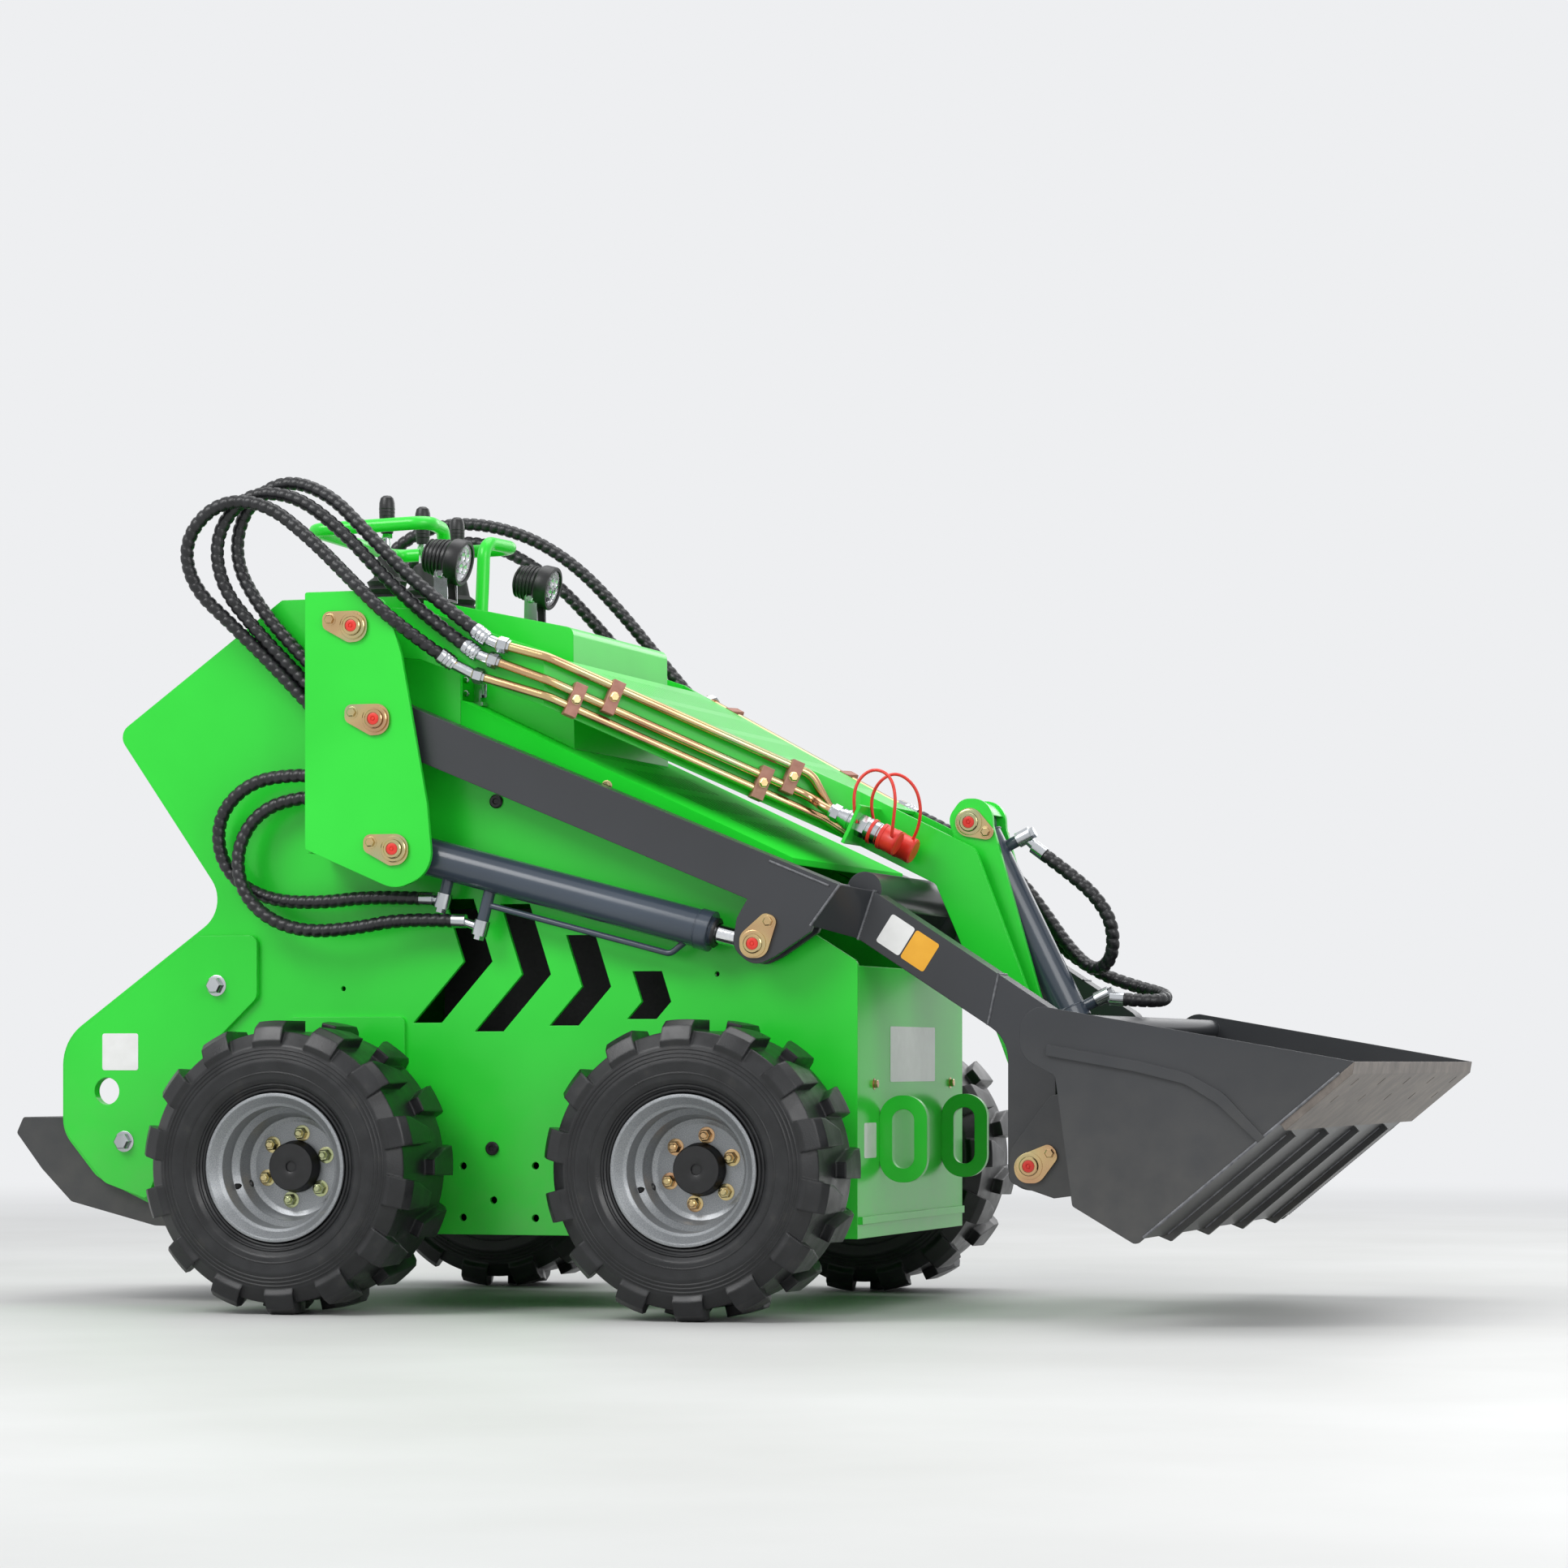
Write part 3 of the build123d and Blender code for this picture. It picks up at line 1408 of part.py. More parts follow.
FAR_MID = [
    (-553, 345, 958),
    (-617, 348, 1030),
    (-682, 352, 1108),
    (-730, 355, 1190),
    (-716, 357, 1262),
    (-650, 359, 1300),
    (-570, 361, 1302),
    (-490, 363, 1268),
    (-416, 366, 1210),
    (-346, 368, 1134),
    (-276, 367, 1056),
    (-212, 362, 992),
]
LOWER_OUT = [
    (-566, -350, 850),
    (-632, -350, 853),
    (-698, -349, 838),
    (-746, -346, 792),
    (-752, -341, 731),
    (-720, -337, 680),
    (-658, -336, 651),
    (-572, -341, 647),
    (-480, -348, 656),
    (-396, -350, 652),
]
LOWER_IN = [
    (-566, -343, 818),
    (-628, -344, 815),
    (-684, -348, 788),
    (-712, -355, 735),
    (-704, -363, 674),
    (-661, -367, 625),
    (-594, -366, 600),
    (-510, -361, 604),
    (-424, -354, 620),
    (-342, -350, 616),
]
TILT_UPPER = [
    (296, 89.5, 795.7),
    (352, 89.5, 768.3),
    (412, 98, 732),
    (466, 102, 690),
    (513, 92, 632),
    (558, 72, 574),
    (606, 45, 536),
    (642, 18, 557),
    (645, 4, 613),
    (618, 0, 657),
    (580, 0, 690),
    (534, 0, 724),
]
TILT_LOWER = [
    (296, 89.5, 759.7),
    (352, 89.5, 732.3),
    (410, 97, 699),
    (460, 102, 659),
    (502, 101, 612),
    (552, 103, 566),
    (606, 107, 532),
    (664, 104, 513),
    (712, 83, 501),
    (724, 40, 492),
    (704, 4, 489),
    (664, 0, 492),
]


def hose(points, name):
    """Hydraulic hose along a route; prints its bend radii, length and volume check."""
    _, radii = smooth_path(points)
    path, _ = smooth_path(points)
    shape = tube(points, HOSE_RADIUS)
    expected = pi * HOSE_RADIUS**2 * path.length
    print(
        f"{name}: length {path.length:.0f}, volume ratio {shape.volume / expected:.4f}, radii",
        [round(r) for r in radii],
    )
    return shape


def inlet(points):
    """Elbow fitting on the side plate, behind the tower, that a hose's rear end screws on to."""
    first = Vector(*points[0])
    second = Vector(*points[1])
    back = (first - second).normalized()
    heel = first + back * 26
    side = -1 if first.Y < 0 else 1
    wall = Vector(heel.X, side * HALF, heel.Z)
    elbow = round_bar(wall, heel + Vector(0, side * 11, 0), 11)
    return elbow + round_bar(heel, first, HOSE_RADIUS + 2)


def flip(points):
    """The same route on the other side."""
    return [(x, -y, z) for x, y, z in points]


# ================================================================ build and write
LIFT_PORTS = ((80.0, 50.0), (153.0, 76.0))
TILT_PORTS = ((55.0, -48.0), (342.0, -50.0))
LIFT_BARREL, LIFT_ROD = cylinder_parts(
    LIFT_PIVOT, ROD_PIVOT, -ARM_LANE_Y, 534.0, 26.0, LIFT_PORTS, (158.0, 490.0, 50.0)
)
TILT_BARREL, TILT_ROD = cylinder_parts(
    TILT_PIVOT, TILT_ROD_PIN, 0.0, 362.0, 42.0, TILT_PORTS, None
)


def port_fittings(base, eye, y, ports, routes):
    """Banjos on a cylinder's ports, one for each hose."""
    pieces = []
    for (along, reach), route in zip(ports, routes):
        port = along_cylinder(base, eye, y, along, reach)
        root = along_cylinder(base, eye, y, along, 0.0)
        pieces.append(banjo(port, (port - root).normalized(), route))
    return Compound(children=pieces)


HOSES = {
    "hose_upper_low": UPPER_LOW,
    "hose_upper_mid": UPPER_MID,
    "hose_upper_top": UPPER_TOP,
    "hose_far_top": FAR_TOP,
    "hose_far_mid": FAR_MID,
    "hose_lift_out_right": LOWER_OUT,
    "hose_lift_in_right": LOWER_IN,
    "hose_lift_out_left": flip(LOWER_OUT),
    "hose_lift_in_left": flip(LOWER_IN),
    "hose_tilt_upper": TILT_UPPER,
    "hose_tilt_lower": TILT_LOWER,
}
CHASSIS_HOSES = [name for name in HOSES if "tilt" not in name]
for name, route in HOSES.items():
    save(hose(route, name), name)
save(Compound(children=[inlet(HOSES[name]) for name in CHASSIS_HOSES]), "hose_inlets")
LIFT_FITTINGS = port_fittings(LIFT_PIVOT, ROD_PIVOT, -ARM_LANE_Y, LIFT_PORTS, (LOWER_OUT, LOWER_IN))
save(LIFT_FITTINGS, "lift_fittings_right")
save(left_of(LIFT_FITTINGS), "lift_fittings_left")
save(
    port_fittings(TILT_PIVOT, TILT_ROD_PIN, 0.0, TILT_PORTS, (TILT_UPPER, TILT_LOWER)),
    "tilt_fittings",
)
save(quick_couplers(), "quick_couplers")
save(coupler_caps(), "coupler_caps")

save(both_sides(side_plate()), "side_plates")
REAR_PLATE = Compound(children=[rear_plate(), axle_pad()])
save(both_sides(REAR_PLATE), "rear_plates")
save(front_and_belly(), "front_and_belly")
save(stand_platform(), "stand_platform")
save(console(), "console")
save(hood(), "hood")
save(both_sides(tower()), "towers")
save(tower_pins(), "tower_pins")
save(tie_down_loops(), "tie_down_loops")
save(engine(), "engine_block")
save(wheel_motors(), "wheel_motors")
save(handrail(), "handrail")
save(control_levers(), "control_levers")
save(work_lamps(), "work_lamps")

TYRE = tyre()
WHEEL = wheel()
for name, x, side in (
    ("front_right", FRONT_AXLE_X, -1),
    ("front_left", FRONT_AXLE_X, 1),
    ("rear_right", FRONT_AXLE_X - WHEELBASE, -1),
    ("rear_left", FRONT_AXLE_X - WHEELBASE, 1),
):
    place = Pos(x, side * WHEEL_TRACK / 2, TYRE_RADIUS)
    for piece, shape in (("tyre", TYRE), ("wheel", WHEEL)):
        handed = shape if side < 0 else left_of(shape)
        save(place * handed, f"{piece}_{name}")

save(lift_arms(), "lift_arms")
save(arm_pins(), "arm_pins")
save(link_frame() + coupler_bracket(), "upper_link")
save(link_front_pin(), "link_front_pin")
save(link_pipes(), "link_pipes")
save(pipe_clamps(), "pipe_clamps")
save(front_carriage(), "front_carriage")
save(carriage_pins(), "tilt_top_pin")
save(quick_attach(), "quick_attach")
save(attach_pins(), "attach_pins")
save(bucket_shell(), "bucket_shell")
save(cutting_edge(), "cutting_edge")
save(LIFT_BARREL, "lift_barrel_right")
save(LIFT_ROD, "lift_rod_right")
save(left_of(LIFT_BARREL), "lift_barrel_left")
save(left_of(LIFT_ROD), "lift_rod_left")
save(TILT_BARREL, "tilt_barrel")
save(TILT_ROD, "tilt_rod")
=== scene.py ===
import math

import bmesh
import bpy
from mathutils import Matrix, Vector


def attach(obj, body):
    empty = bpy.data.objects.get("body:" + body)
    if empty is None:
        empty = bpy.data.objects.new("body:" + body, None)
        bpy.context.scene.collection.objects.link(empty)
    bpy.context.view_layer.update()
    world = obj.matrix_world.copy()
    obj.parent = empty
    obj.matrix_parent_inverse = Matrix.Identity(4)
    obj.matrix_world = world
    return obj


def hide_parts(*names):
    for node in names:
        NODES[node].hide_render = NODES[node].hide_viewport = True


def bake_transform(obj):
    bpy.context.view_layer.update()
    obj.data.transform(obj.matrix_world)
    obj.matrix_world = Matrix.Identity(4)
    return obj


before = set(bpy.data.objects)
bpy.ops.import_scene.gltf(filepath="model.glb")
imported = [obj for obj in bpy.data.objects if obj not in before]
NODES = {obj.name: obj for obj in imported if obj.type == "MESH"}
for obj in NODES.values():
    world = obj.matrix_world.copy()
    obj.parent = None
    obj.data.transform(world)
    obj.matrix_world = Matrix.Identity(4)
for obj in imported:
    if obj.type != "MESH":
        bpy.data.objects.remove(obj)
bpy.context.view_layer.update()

# ---------------------------------------------------------------- view
# The machine is seen from its right-hand side and a little ahead, from knee height,
# with a long lens, so upright edges stay upright.
scene = bpy.context.scene
lens = bpy.data.cameras.new("camera")
lens.lens = 103.76
lens.sensor_width = 36
lens.shift_y = 0.1777
lens.clip_end = 60
camera = bpy.data.objects.new("camera", lens)
camera.location = (2.3094, -7.0153, 0.3914)
camera.rotation_euler = (math.radians(90), 0, math.radians(17.5))
scene.collection.objects.link(camera)
scene.camera = camera
scene.view_settings.view_transform = "Standard"


# ---------------------------------------------------------------- hoses
# Two-wire rubber hydraulic hoses, each wrapped in a black plastic spiral guard that
# stands proud of the rubber in narrow bands and keeps the loops from chafing.
def linear(code):
    """Linear colour of an sRGB hex value."""
    parts = [int(code[i : i + 2], 16) / 255 for i in (1, 3, 5)]
    return [c / 12.92 if c <= 0.04045 else ((c + 0.055) / 1.055) ** 2.4 for c in parts] + [1.0]


def add(tree, kind, settings=None, links=None):
    """A new node; each setting names its attribute or input, each link an input and the output it takes."""
    new = tree.nodes.new(kind)
    for name, value in (settings or {}).items():
        if name == "stops":
            ramp = new.color_ramp.elements
            while len(ramp) > 1:
                ramp.remove(ramp[-1])
            for i, (place, shade) in enumerate(value):
                stop = ramp[0] if i == 0 else ramp.new(place)
                stop.position = place
                stop.color = shade
        elif isinstance(name, str) and hasattr(new, name):
            setattr(new, name, value)
        else:
            new.inputs[name].default_value = value
    for name, output in (links or {}).items():
        tree.links.new(output, new.inputs[name])
    return new


def finish_of(name, **sockets):
    """A new material's tree and its shader, whose sockets are set directly."""
    material = bpy.data.materials.new(name)
    material.use_nodes = True
    tree = material.node_tree
    shader = tree.nodes["Principled BSDF"]
    for socket, value in sockets.items():
        shader.inputs[socket.replace("_", " ")].default_value = value
    return material, tree, shader


def cloudy(
    name,
    deep,
    bright,
    clouds,
    detail,
    low=0.3,
    high=0.8,
    shine=None,
    grain=None,
    relief=0.0,
    depth=0.0,
    **sockets,
):
    """A finish whose shade varies in clouds, so many to the metre; its shine and relief may follow."""
    made, tree, shader = finish_of(name, **sockets)
    place = add(tree, "ShaderNodeTexCoord")
    where = {"Vector": place.outputs["Object"]}
    cloud = add(tree, "ShaderNodeTexNoise", {"Scale": clouds, "Detail": detail}, where)
    ramp = {"stops": [(low, linear(deep)), (high, linear(bright))]}
    tint = add(tree, "ShaderNodeValToRGB", ramp, {"Fac": cloud.outputs["Fac"]})
    tree.links.new(tint.outputs["Color"], shader.inputs["Base Color"])
    if shine:
        span = {"To Min": shine[0], "To Max": shine[1]}
        sheen = add(tree, "ShaderNodeMapRange", span, {"Value": cloud.outputs["Fac"]})
        tree.links.new(sheen.outputs[0], shader.inputs["Roughness"])
    if grain:
        # the relief is finer than the clouds
        cloud = add(tree, "ShaderNodeTexNoise", {"Scale": grain, "Detail": 2.0}, where)
    if relief:
        raised = {"Strength": relief, "Distance": depth}
        bump = add(tree, "ShaderNodeBump", raised, {"Height": cloud.outputs["Fac"]})
        tree.links.new(bump.outputs["Normal"], shader.inputs["Normal"])
    return made


# extruded polyethylene guard: dull black, greyer in soft patches of 18 mm, with a fine grain
hose_guard = cloudy(
    "extruded_polyethylene_guard",
    "#0C0D0F",
    "#1F2023",
    clouds=55.0,
    detail=4.0,
    low=0.35,
    high=0.75,
    grain=900.0,
    relief=0.25,
    depth=0.0004,
    Roughness=0.36,
)


def piece(name, mesh_data, material, body, sharp=32):
    """A piece from a bmesh drawn in millimetres; it rides on a body, or else stays fixed where it is drawn.
    """
    bmesh.ops.recalc_face_normals(mesh_data, faces=mesh_data.faces)
    for edge in mesh_data.edges:
        if len(edge.link_faces) == 2 and edge.calc_face_angle(0) > math.radians(sharp):
            edge.smooth = False
    for face in mesh_data.faces:
        face.smooth = True
    mesh = bpy.data.meshes.new(name)
    mesh_data.to_mesh(mesh)
    mesh_data.free()
    mesh.transform(Matrix.Scale(0.001, 4))
    mesh.materials.append(material)
    made = bpy.data.objects.new(name, mesh)
    scene.collection.objects.link(made)
    if isinstance(body, str):
        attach(made, body)
    else:
        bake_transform(made)
    return made


def rings_along(drawing, points, sides, radius_at):
    """Skins a closed tube over a line of points; radius_at(distance, angle) gives its surface."""
    forward = (points[1] - points[0]).normalized()
    side = forward.orthogonal().normalized()
    travelled = 0.0
    rings = []
    for i, point in enumerate(points):
        ahead = points[min(i + 1, len(points) - 1)] - points[max(i - 1, 0)]
        ahead.normalize()
        side = (side - ahead * side.dot(ahead)).normalized()
        up = ahead.cross(side)
        if i:
            travelled += (point - points[i - 1]).length
        ring = []
        for k in range(sides):
            angle = 2 * math.pi * k / sides
            reach = radius_at(travelled, angle)
            ring.append(drawing.verts.new(point + (side * math.cos(angle) + up * math.sin(angle)) * reach))
        rings.append(ring)
    for near, far in zip(rings, rings[1:]):
        for k in range(sides):
            drawing.faces.new((near[k], near[(k + 1) % sides], far[(k + 1) % sides], far[k]))
    drawing.faces.new(rings[0])
    drawing.faces.new(reversed(rings[-1]))


def line_of(route):
    """Points every few millimetres along the smooth line that a route's points steer."""
    curve = bpy.data.curves.new("route", "CURVE")
    curve.dimensions = "3D"
    curve.resolution_u = 24
    spline = curve.splines.new("NURBS")
    spline.points.add(len(route) - 1)
    for control, (x, y, z) in zip(spline.points, route):
        control.co = (x / 1000, y / 1000, z / 1000, 1)
    spline.order_u = 3
    spline.use_endpoint_u = True
    holder = bpy.data.objects.new("route", curve)
    scene.collection.objects.link(holder)
    bpy.context.view_layer.update()
    line = bpy.data.meshes.new_from_object(holder)
    found = [v.co.copy() for v in line.vertices]
    bpy.data.objects.remove(holder)
    bpy.data.curves.remove(curve)
    bpy.data.meshes.remove(line)
    return found


def evenly(points, step):
    """The same line with its points a step apart."""
    spaced = [points[0].copy()]
    carried = 0.0
    for a, b in zip(points, points[1:]):
        run = (b - a).length
        while run > 0 and carried + run >= step:
            a = a.lerp(b, (step - carried) / run)
            spaced.append(a.copy())
            run = (b - a).length
            carried = 0.0
        carried += run
    if (spaced[-1] - points[-1]).length > step * 0.4:
        spaced.append(points[-1].copy())
    else:
        spaced[-1] = points[-1].copy()
    return spaced


# from the chassis to the moving end, in millimetres
UPPER_LOW = [
    (-553, -345, 925),
    (-630, -350, 1008),
    (-715, -362, 1092),
    (-781, -377, 1156),
    (-790, -388, 1230),
    (-731, -392, 1289),
    (-645, -395, 1285),
    (-560, -402, 1220),
    (-482, -412, 1146),
    (-418, -412, 1086),
    (-355, -372, 1036),
]
UPPER_MID = [
    (-553, -345, 958),
    (-612, -349, 1016),
    (-676, -355, 1082),
    (-737, -363, 1156),
    (-745, -368, 1240),
    (-690, -370, 1303),
    (-605, -371, 1299),
    (-525, -370, 1240),
    (-449, -369, 1160),
    (-379, -366, 1096),
    (-316, -361, 1050),
]
UPPER_TOP = [
    (-553, -342, 992),
    (-612, -343, 1050),
    (-673, -344, 1116),
    (-722, -344, 1198),
    (-706, -345, 1282),
    (-635, -348, 1327),
    (-553, -354, 1301),
    (-482, -362, 1232),
    (-413, -366, 1165),
    (-356, -364, 1117),
    (-300, -360, 1074),
]
FAR_TOP = [
    (-553, 345, 925),
    (-630, 348, 1008),
    (-712, 352, 1095),
    (-768, 356, 1185),
    (-760, 358, 1272),
    (-690, 360, 1325),
    (-595, 362, 1338),
    (-490, 364, 1312),
    (-400, 366, 1258),
    (-320, 368, 1178),
    (-248, 368, 1092),
    (-186, 362, 1022),
]
FAR_MID = [
    (-553, 345, 958),
    (-617, 348, 1030),
    (-682, 352, 1108),
    (-730, 355, 1190),
    (-716, 357, 1262),
    (-650, 359, 1300),
    (-570, 361, 1302),
    (-490, 363, 1268),
    (-416, 366, 1210),
    (-346, 368, 1134),
    (-276, 367, 1056),
    (-212, 362, 992),
]
LOWER_OUT = [
    (-566, -350, 850),
    (-632, -350, 853),
    (-698, -349, 838),
    (-746, -346, 792),
    (-752, -341, 731),
    (-720, -337, 680),
    (-658, -336, 651),
    (-572, -341, 647),
    (-480, -348, 656),
    (-396, -350, 652),
]
LOWER_IN = [
    (-566, -343, 818),
    (-628, -344, 815),
    (-684, -348, 788),
    (-712, -355, 735),
    (-704, -363, 674),
    (-661, -367, 625),
    (-594, -366, 600),
    (-510, -361, 604),
    (-424, -354, 620),
    (-342, -350, 616),
]
TILT_UPPER = [
    (296, 89.5, 795.7),
    (352, 89.5, 768.3),
    (412, 98, 732),
    (466, 102, 690),
    (513, 92, 632),
    (558, 72, 574),
    (606, 45, 536),
    (642, 18, 557),
    (645, 4, 613),
    (618, 0, 657),
    (580, 0, 690),
    (534, 0, 724),
]
TILT_LOWER = [
    (296, 89.5, 759.7),
    (352, 89.5, 732.3),
    (410, 97, 699),
    (460, 102, 659),
    (502, 101, 612),
    (552, 103, 566),
    (606, 107, 532),
    (664, 104, 513),
    (712, 83, 501),
    (724, 40, 492),
    (704, 4, 489),
    (664, 0, 492),
]
GUARD_PITCH = 15.0
GUARD_RADIUS = 11.0
GROOVE_DEPTH = 2.2
# the loops over the tower are given a span from 20 mm ahead of their inlets, in metres, to their far ends;
# those behind it from the fifth stretch of their route
TOWER_STRETCH = Vector((0.02, 0, 0))
LOWER_STILL = 5
# the loops over the tower lie between the chassis and the link, and those behind it between the chassis and a
# cylinder
OVER = ("chassis", "upper_link")
# name, route, side (1 as written, -1 for its twin on the left), length in metres,
# and the two bodies it lies between, or the one it rides on
HOSES = [
    ("hose_upper_low", UPPER_LOW, 1, 0.949, OVER),
    ("hose_upper_mid", UPPER_MID, 1, 0.893, OVER),
    ("hose_upper_top", UPPER_TOP, 1, 0.851, OVER),
    ("hose_far_top", FAR_TOP, 1, 1.131, OVER),
    ("hose_far_mid", FAR_MID, 1, 0.992, OVER),
    ("hose_lift_out_right", LOWER_OUT, 1, 0.645, ("chassis", "lift_barrel_right")),
    ("hose_lift_in_right", LOWER_IN, 1, 0.629, ("chassis", "lift_barrel_right")),
    ("hose_lift_out_left", LOWER_OUT, -1, 0.645, ("chassis", "lift_barrel_left")),
    ("hose_lift_in_left", LOWER_IN, -1, 0.629, ("chassis", "lift_barrel_left")),
    ("hose_tilt_upper", TILT_UPPER, 1, 0.676, "front_carriage"),
    ("hose_tilt_lower", TILT_LOWER, 1, 0.622, "front_carriage"),
]


def guard_surface(travelled, angle):
    """Radius of the wrapped hose: flat bands with a rounded groove between their turns."""
    turn = (travelled / GUARD_PITCH + angle / (2 * math.pi)) % 1.0
    groove = max(0.0, 1 - abs(turn - 0.5) / 0.2)
    return GUARD_RADIUS - GROOVE_DEPTH * groove**0.7


for name, route, side, length, body in HOSES:
    handed = [(x, side * y, z) for x, y, z in route]
    line = line_of(handed)
    smooth = evenly([p * 1000 for p in line], 2.5)
    drawing = bmesh.new()
    rings_along(drawing, smooth, 14, guard_surface)
    if body == OVER:
        body = OVER + (Vector(handed[0]) / 1000 + TOWER_STRETCH, Vector(handed[-1]) / 1000)
    elif isinstance(body, tuple):
        body = body + (Vector(handed[LOWER_STILL]) / 1000, Vector(handed[-1]) / 1000)
    wrapped = piece(name.replace("hose", "guarded_hose"), drawing, hose_guard, body, sharp=80)
    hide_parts(name)


# ---------------------------------------------------------------- painted sheet steel
# Laser-cut and folded mild steel, sprayed with two-pack enamel: bright green on the
# chassis, towers and link, charcoal on the arms, step and bucket.
def paint(name, deep, bright, roughness, orange_peel):
    """Sprayed enamel: slight shade changes over a panel, and the fine ripple of orange peel."""
    made, tree, shader = finish_of(name, Coat_Weight=0.12, Coat_Roughness=0.12, Roughness=roughness)
    place = add(tree, "ShaderNodeTexCoord")
    # shade drifts over about 300 mm
    where = {"Vector": place.outputs["Object"]}
    drift = add(tree, "ShaderNodeTexNoise", {"Scale": 3.2, "Detail": 3.0}, where)
    ramp = {"stops": [(0.3, linear(deep)), (0.7, linear(bright))]}
    tint = add(tree, "ShaderNodeValToRGB", ramp, {"Fac": drift.outputs["Fac"]})
    # a film of dust near the ground, in patches
    height = add(tree, "ShaderNodeSeparateXYZ", links=where)
    low = add(
        tree,
        "ShaderNodeMapRange",
        {"From Min": 0.45, "From Max": 0.08, "To Min": 0.0, "To Max": 0.30},
        {"Value": height.outputs["Z"]},
    )
    patches = add(tree, "ShaderNodeTexNoise", {"Scale": 26.0, "Detail": 6.0}, where)
    film = add(tree, "ShaderNodeMath", {"operation": "MULTIPLY"}, {0: low.outputs[0], 1: patches.outputs[0]})
    dusted = add(
        tree,
        "ShaderNodeMix",
        {"data_type": "RGBA", 7: linear("#8A8578")},
        {0: film.outputs[0], 6: tint.outputs["Color"]},
    )
    tree.links.new(dusted.outputs[2], shader.inputs["Base Color"])
    # orange peel is about 1 mm across; drawn at 3 mm so that it shows
    peel = add(tree, "ShaderNodeTexNoise", {"Scale": 330.0, "Detail": 1.0}, where)
    # edges broken by 2.2 mm, and the paint drawn over them
    edge = add(tree, "ShaderNodeBevel", {"samples": 4, "Radius": 0.0022})
    ripple = add(
        tree,
        "ShaderNodeBump",
        {"Strength": orange_peel, "Distance": 0.0003},
        {"Height": peel.outputs["Fac"], "Normal": edge.outputs["Normal"]},
    )
    tree.links.new(ripple.outputs["Normal"], shader.inputs["Normal"])
    return made


green_enamel = paint("sprayed_green_enamel", "#1BCD2A", "#27DC35", 0.3, 0.08)
charcoal_enamel = paint("sprayed_charcoal_enamel", "#282A2D", "#323438", 0.42, 0.16)
for painted, material in (
    ("side_plates rear_plates front_and_belly console towers tie_down_loops handrail", green_enamel),
    ("upper_link front_carriage", green_enamel),
    ("stand_platform lift_arms quick_attach bucket_shell", charcoal_enamel),
):
    for name in painted.split():
        NODES[name].data.materials[0] = material

# The hood's paint is duller than the rest. Its slot walls carry painted shade, a dark colour that stands for
# the shadow
# inside the slots: they face sideways, and lie inboard of the hood's own sides.
HOOD_INBOARD = 0.28
punched = green_enamel.copy()
punched.name = "sprayed_green_enamel_painted_slot_shade"
tree = punched.node_tree
shader = tree.nodes["Principled BSDF"]
shader.inputs["Coat Weight"].default_value = 0.0
shader.inputs["Specular IOR Level"].default_value = 0.04
shader.inputs["Roughness"].default_value = 0.55
painted_colour = shader.inputs["Base Color"].links[0].from_socket
place = add(tree, "ShaderNodeTexCoord")
facing = add(tree, "ShaderNodeNewGeometry")
turned = add(tree, "ShaderNodeSeparateXYZ", links={"Vector": facing.outputs["True Normal"]})
spot = add(tree, "ShaderNodeSeparateXYZ", links={"Vector": place.outputs["Object"]})
sideways = add(tree, "ShaderNodeMath", {"operation": "ABSOLUTE"}, {0: turned.outputs["Y"]})
upright = add(tree, "ShaderNodeMath", {"operation": "GREATER_THAN", 1: 0.9}, {0: sideways.outputs[0]})
outward = add(tree, "ShaderNodeMath", {"operation": "ABSOLUTE"}, {0: spot.outputs["Y"]})
inside = add(tree, "ShaderNodeMath", {"operation": "LESS_THAN", 1: HOOD_INBOARD}, {0: outward.outputs[0]})
cut = add(tree, "ShaderNodeMath", {"operation": "MULTIPLY"}, {0: upright.outputs[0], 1: inside.outputs[0]})
# painted shade: sideways faces inboard of the hood's sides turn dark green-black
painted_slot_shade = add(
    tree,
    "ShaderNodeMix",
    {"data_type": "RGBA", 7: linear("#15201A")},
    {0: cut.outputs[0], 6: painted_colour},
)
tree.links.new(painted_slot_shade.outputs[2], shader.inputs["Base Color"])
NODES["hood"].data.materials[0] = punched


# ---------------------------------------------------------------- tyres
# Four 18 x 8.5 flotation tyres with bar lugs, moulded in black rubber, soft in sheen and
# mottled with dust; the sidewalls carry raised ribs round the bead and the shoulder.
tyre_rubber, tree, shader = finish_of("moulded_tyre_rubber", Specular_IOR_Level=0.5)
place = add(tree, "ShaderNodeTexCoord")
mottle = add(tree, "ShaderNodeTexNoise", {"Scale": 30.0, "Detail": 6.0}, {"Vector": place.outputs["Object"]})
ramp = {"stops": [(0.35, linear("#101113")), (0.62, linear("#1A1B1D")), (0.9, linear("#34322E"))]}
tint = add(tree, "ShaderNodeValToRGB", ramp, {"Fac": mottle.outputs["Fac"]})
tree.links.new(tint.outputs["Color"], shader.inputs["Base Color"])
wear = add(
    tree,
    "ShaderNodeMapRange",
    {"From Min": 0.3, "From Max": 0.7, "To Min": 0.27, "To Max": 0.44},
    {"Value": mottle.outputs["Fac"]},
)
tree.links.new(wear.outputs[0], shader.inputs["Roughness"])
grain = add(tree, "ShaderNodeTexNoise", {"Scale": 420.0, "Detail": 3.0}, {"Vector": place.outputs["Object"]})
edge = add(tree, "ShaderNodeBevel", {"samples": 4, "Radius": 0.005})
bump = add(
    tree,
    "ShaderNodeBump",
    {"Strength": 0.3, "Distance": 0.0006},
    {"Height": grain.outputs["Fac"], "Normal": edge.outputs["Normal"]},
)
tree.links.new(bump.outputs["Normal"], shader.inputs["Normal"])


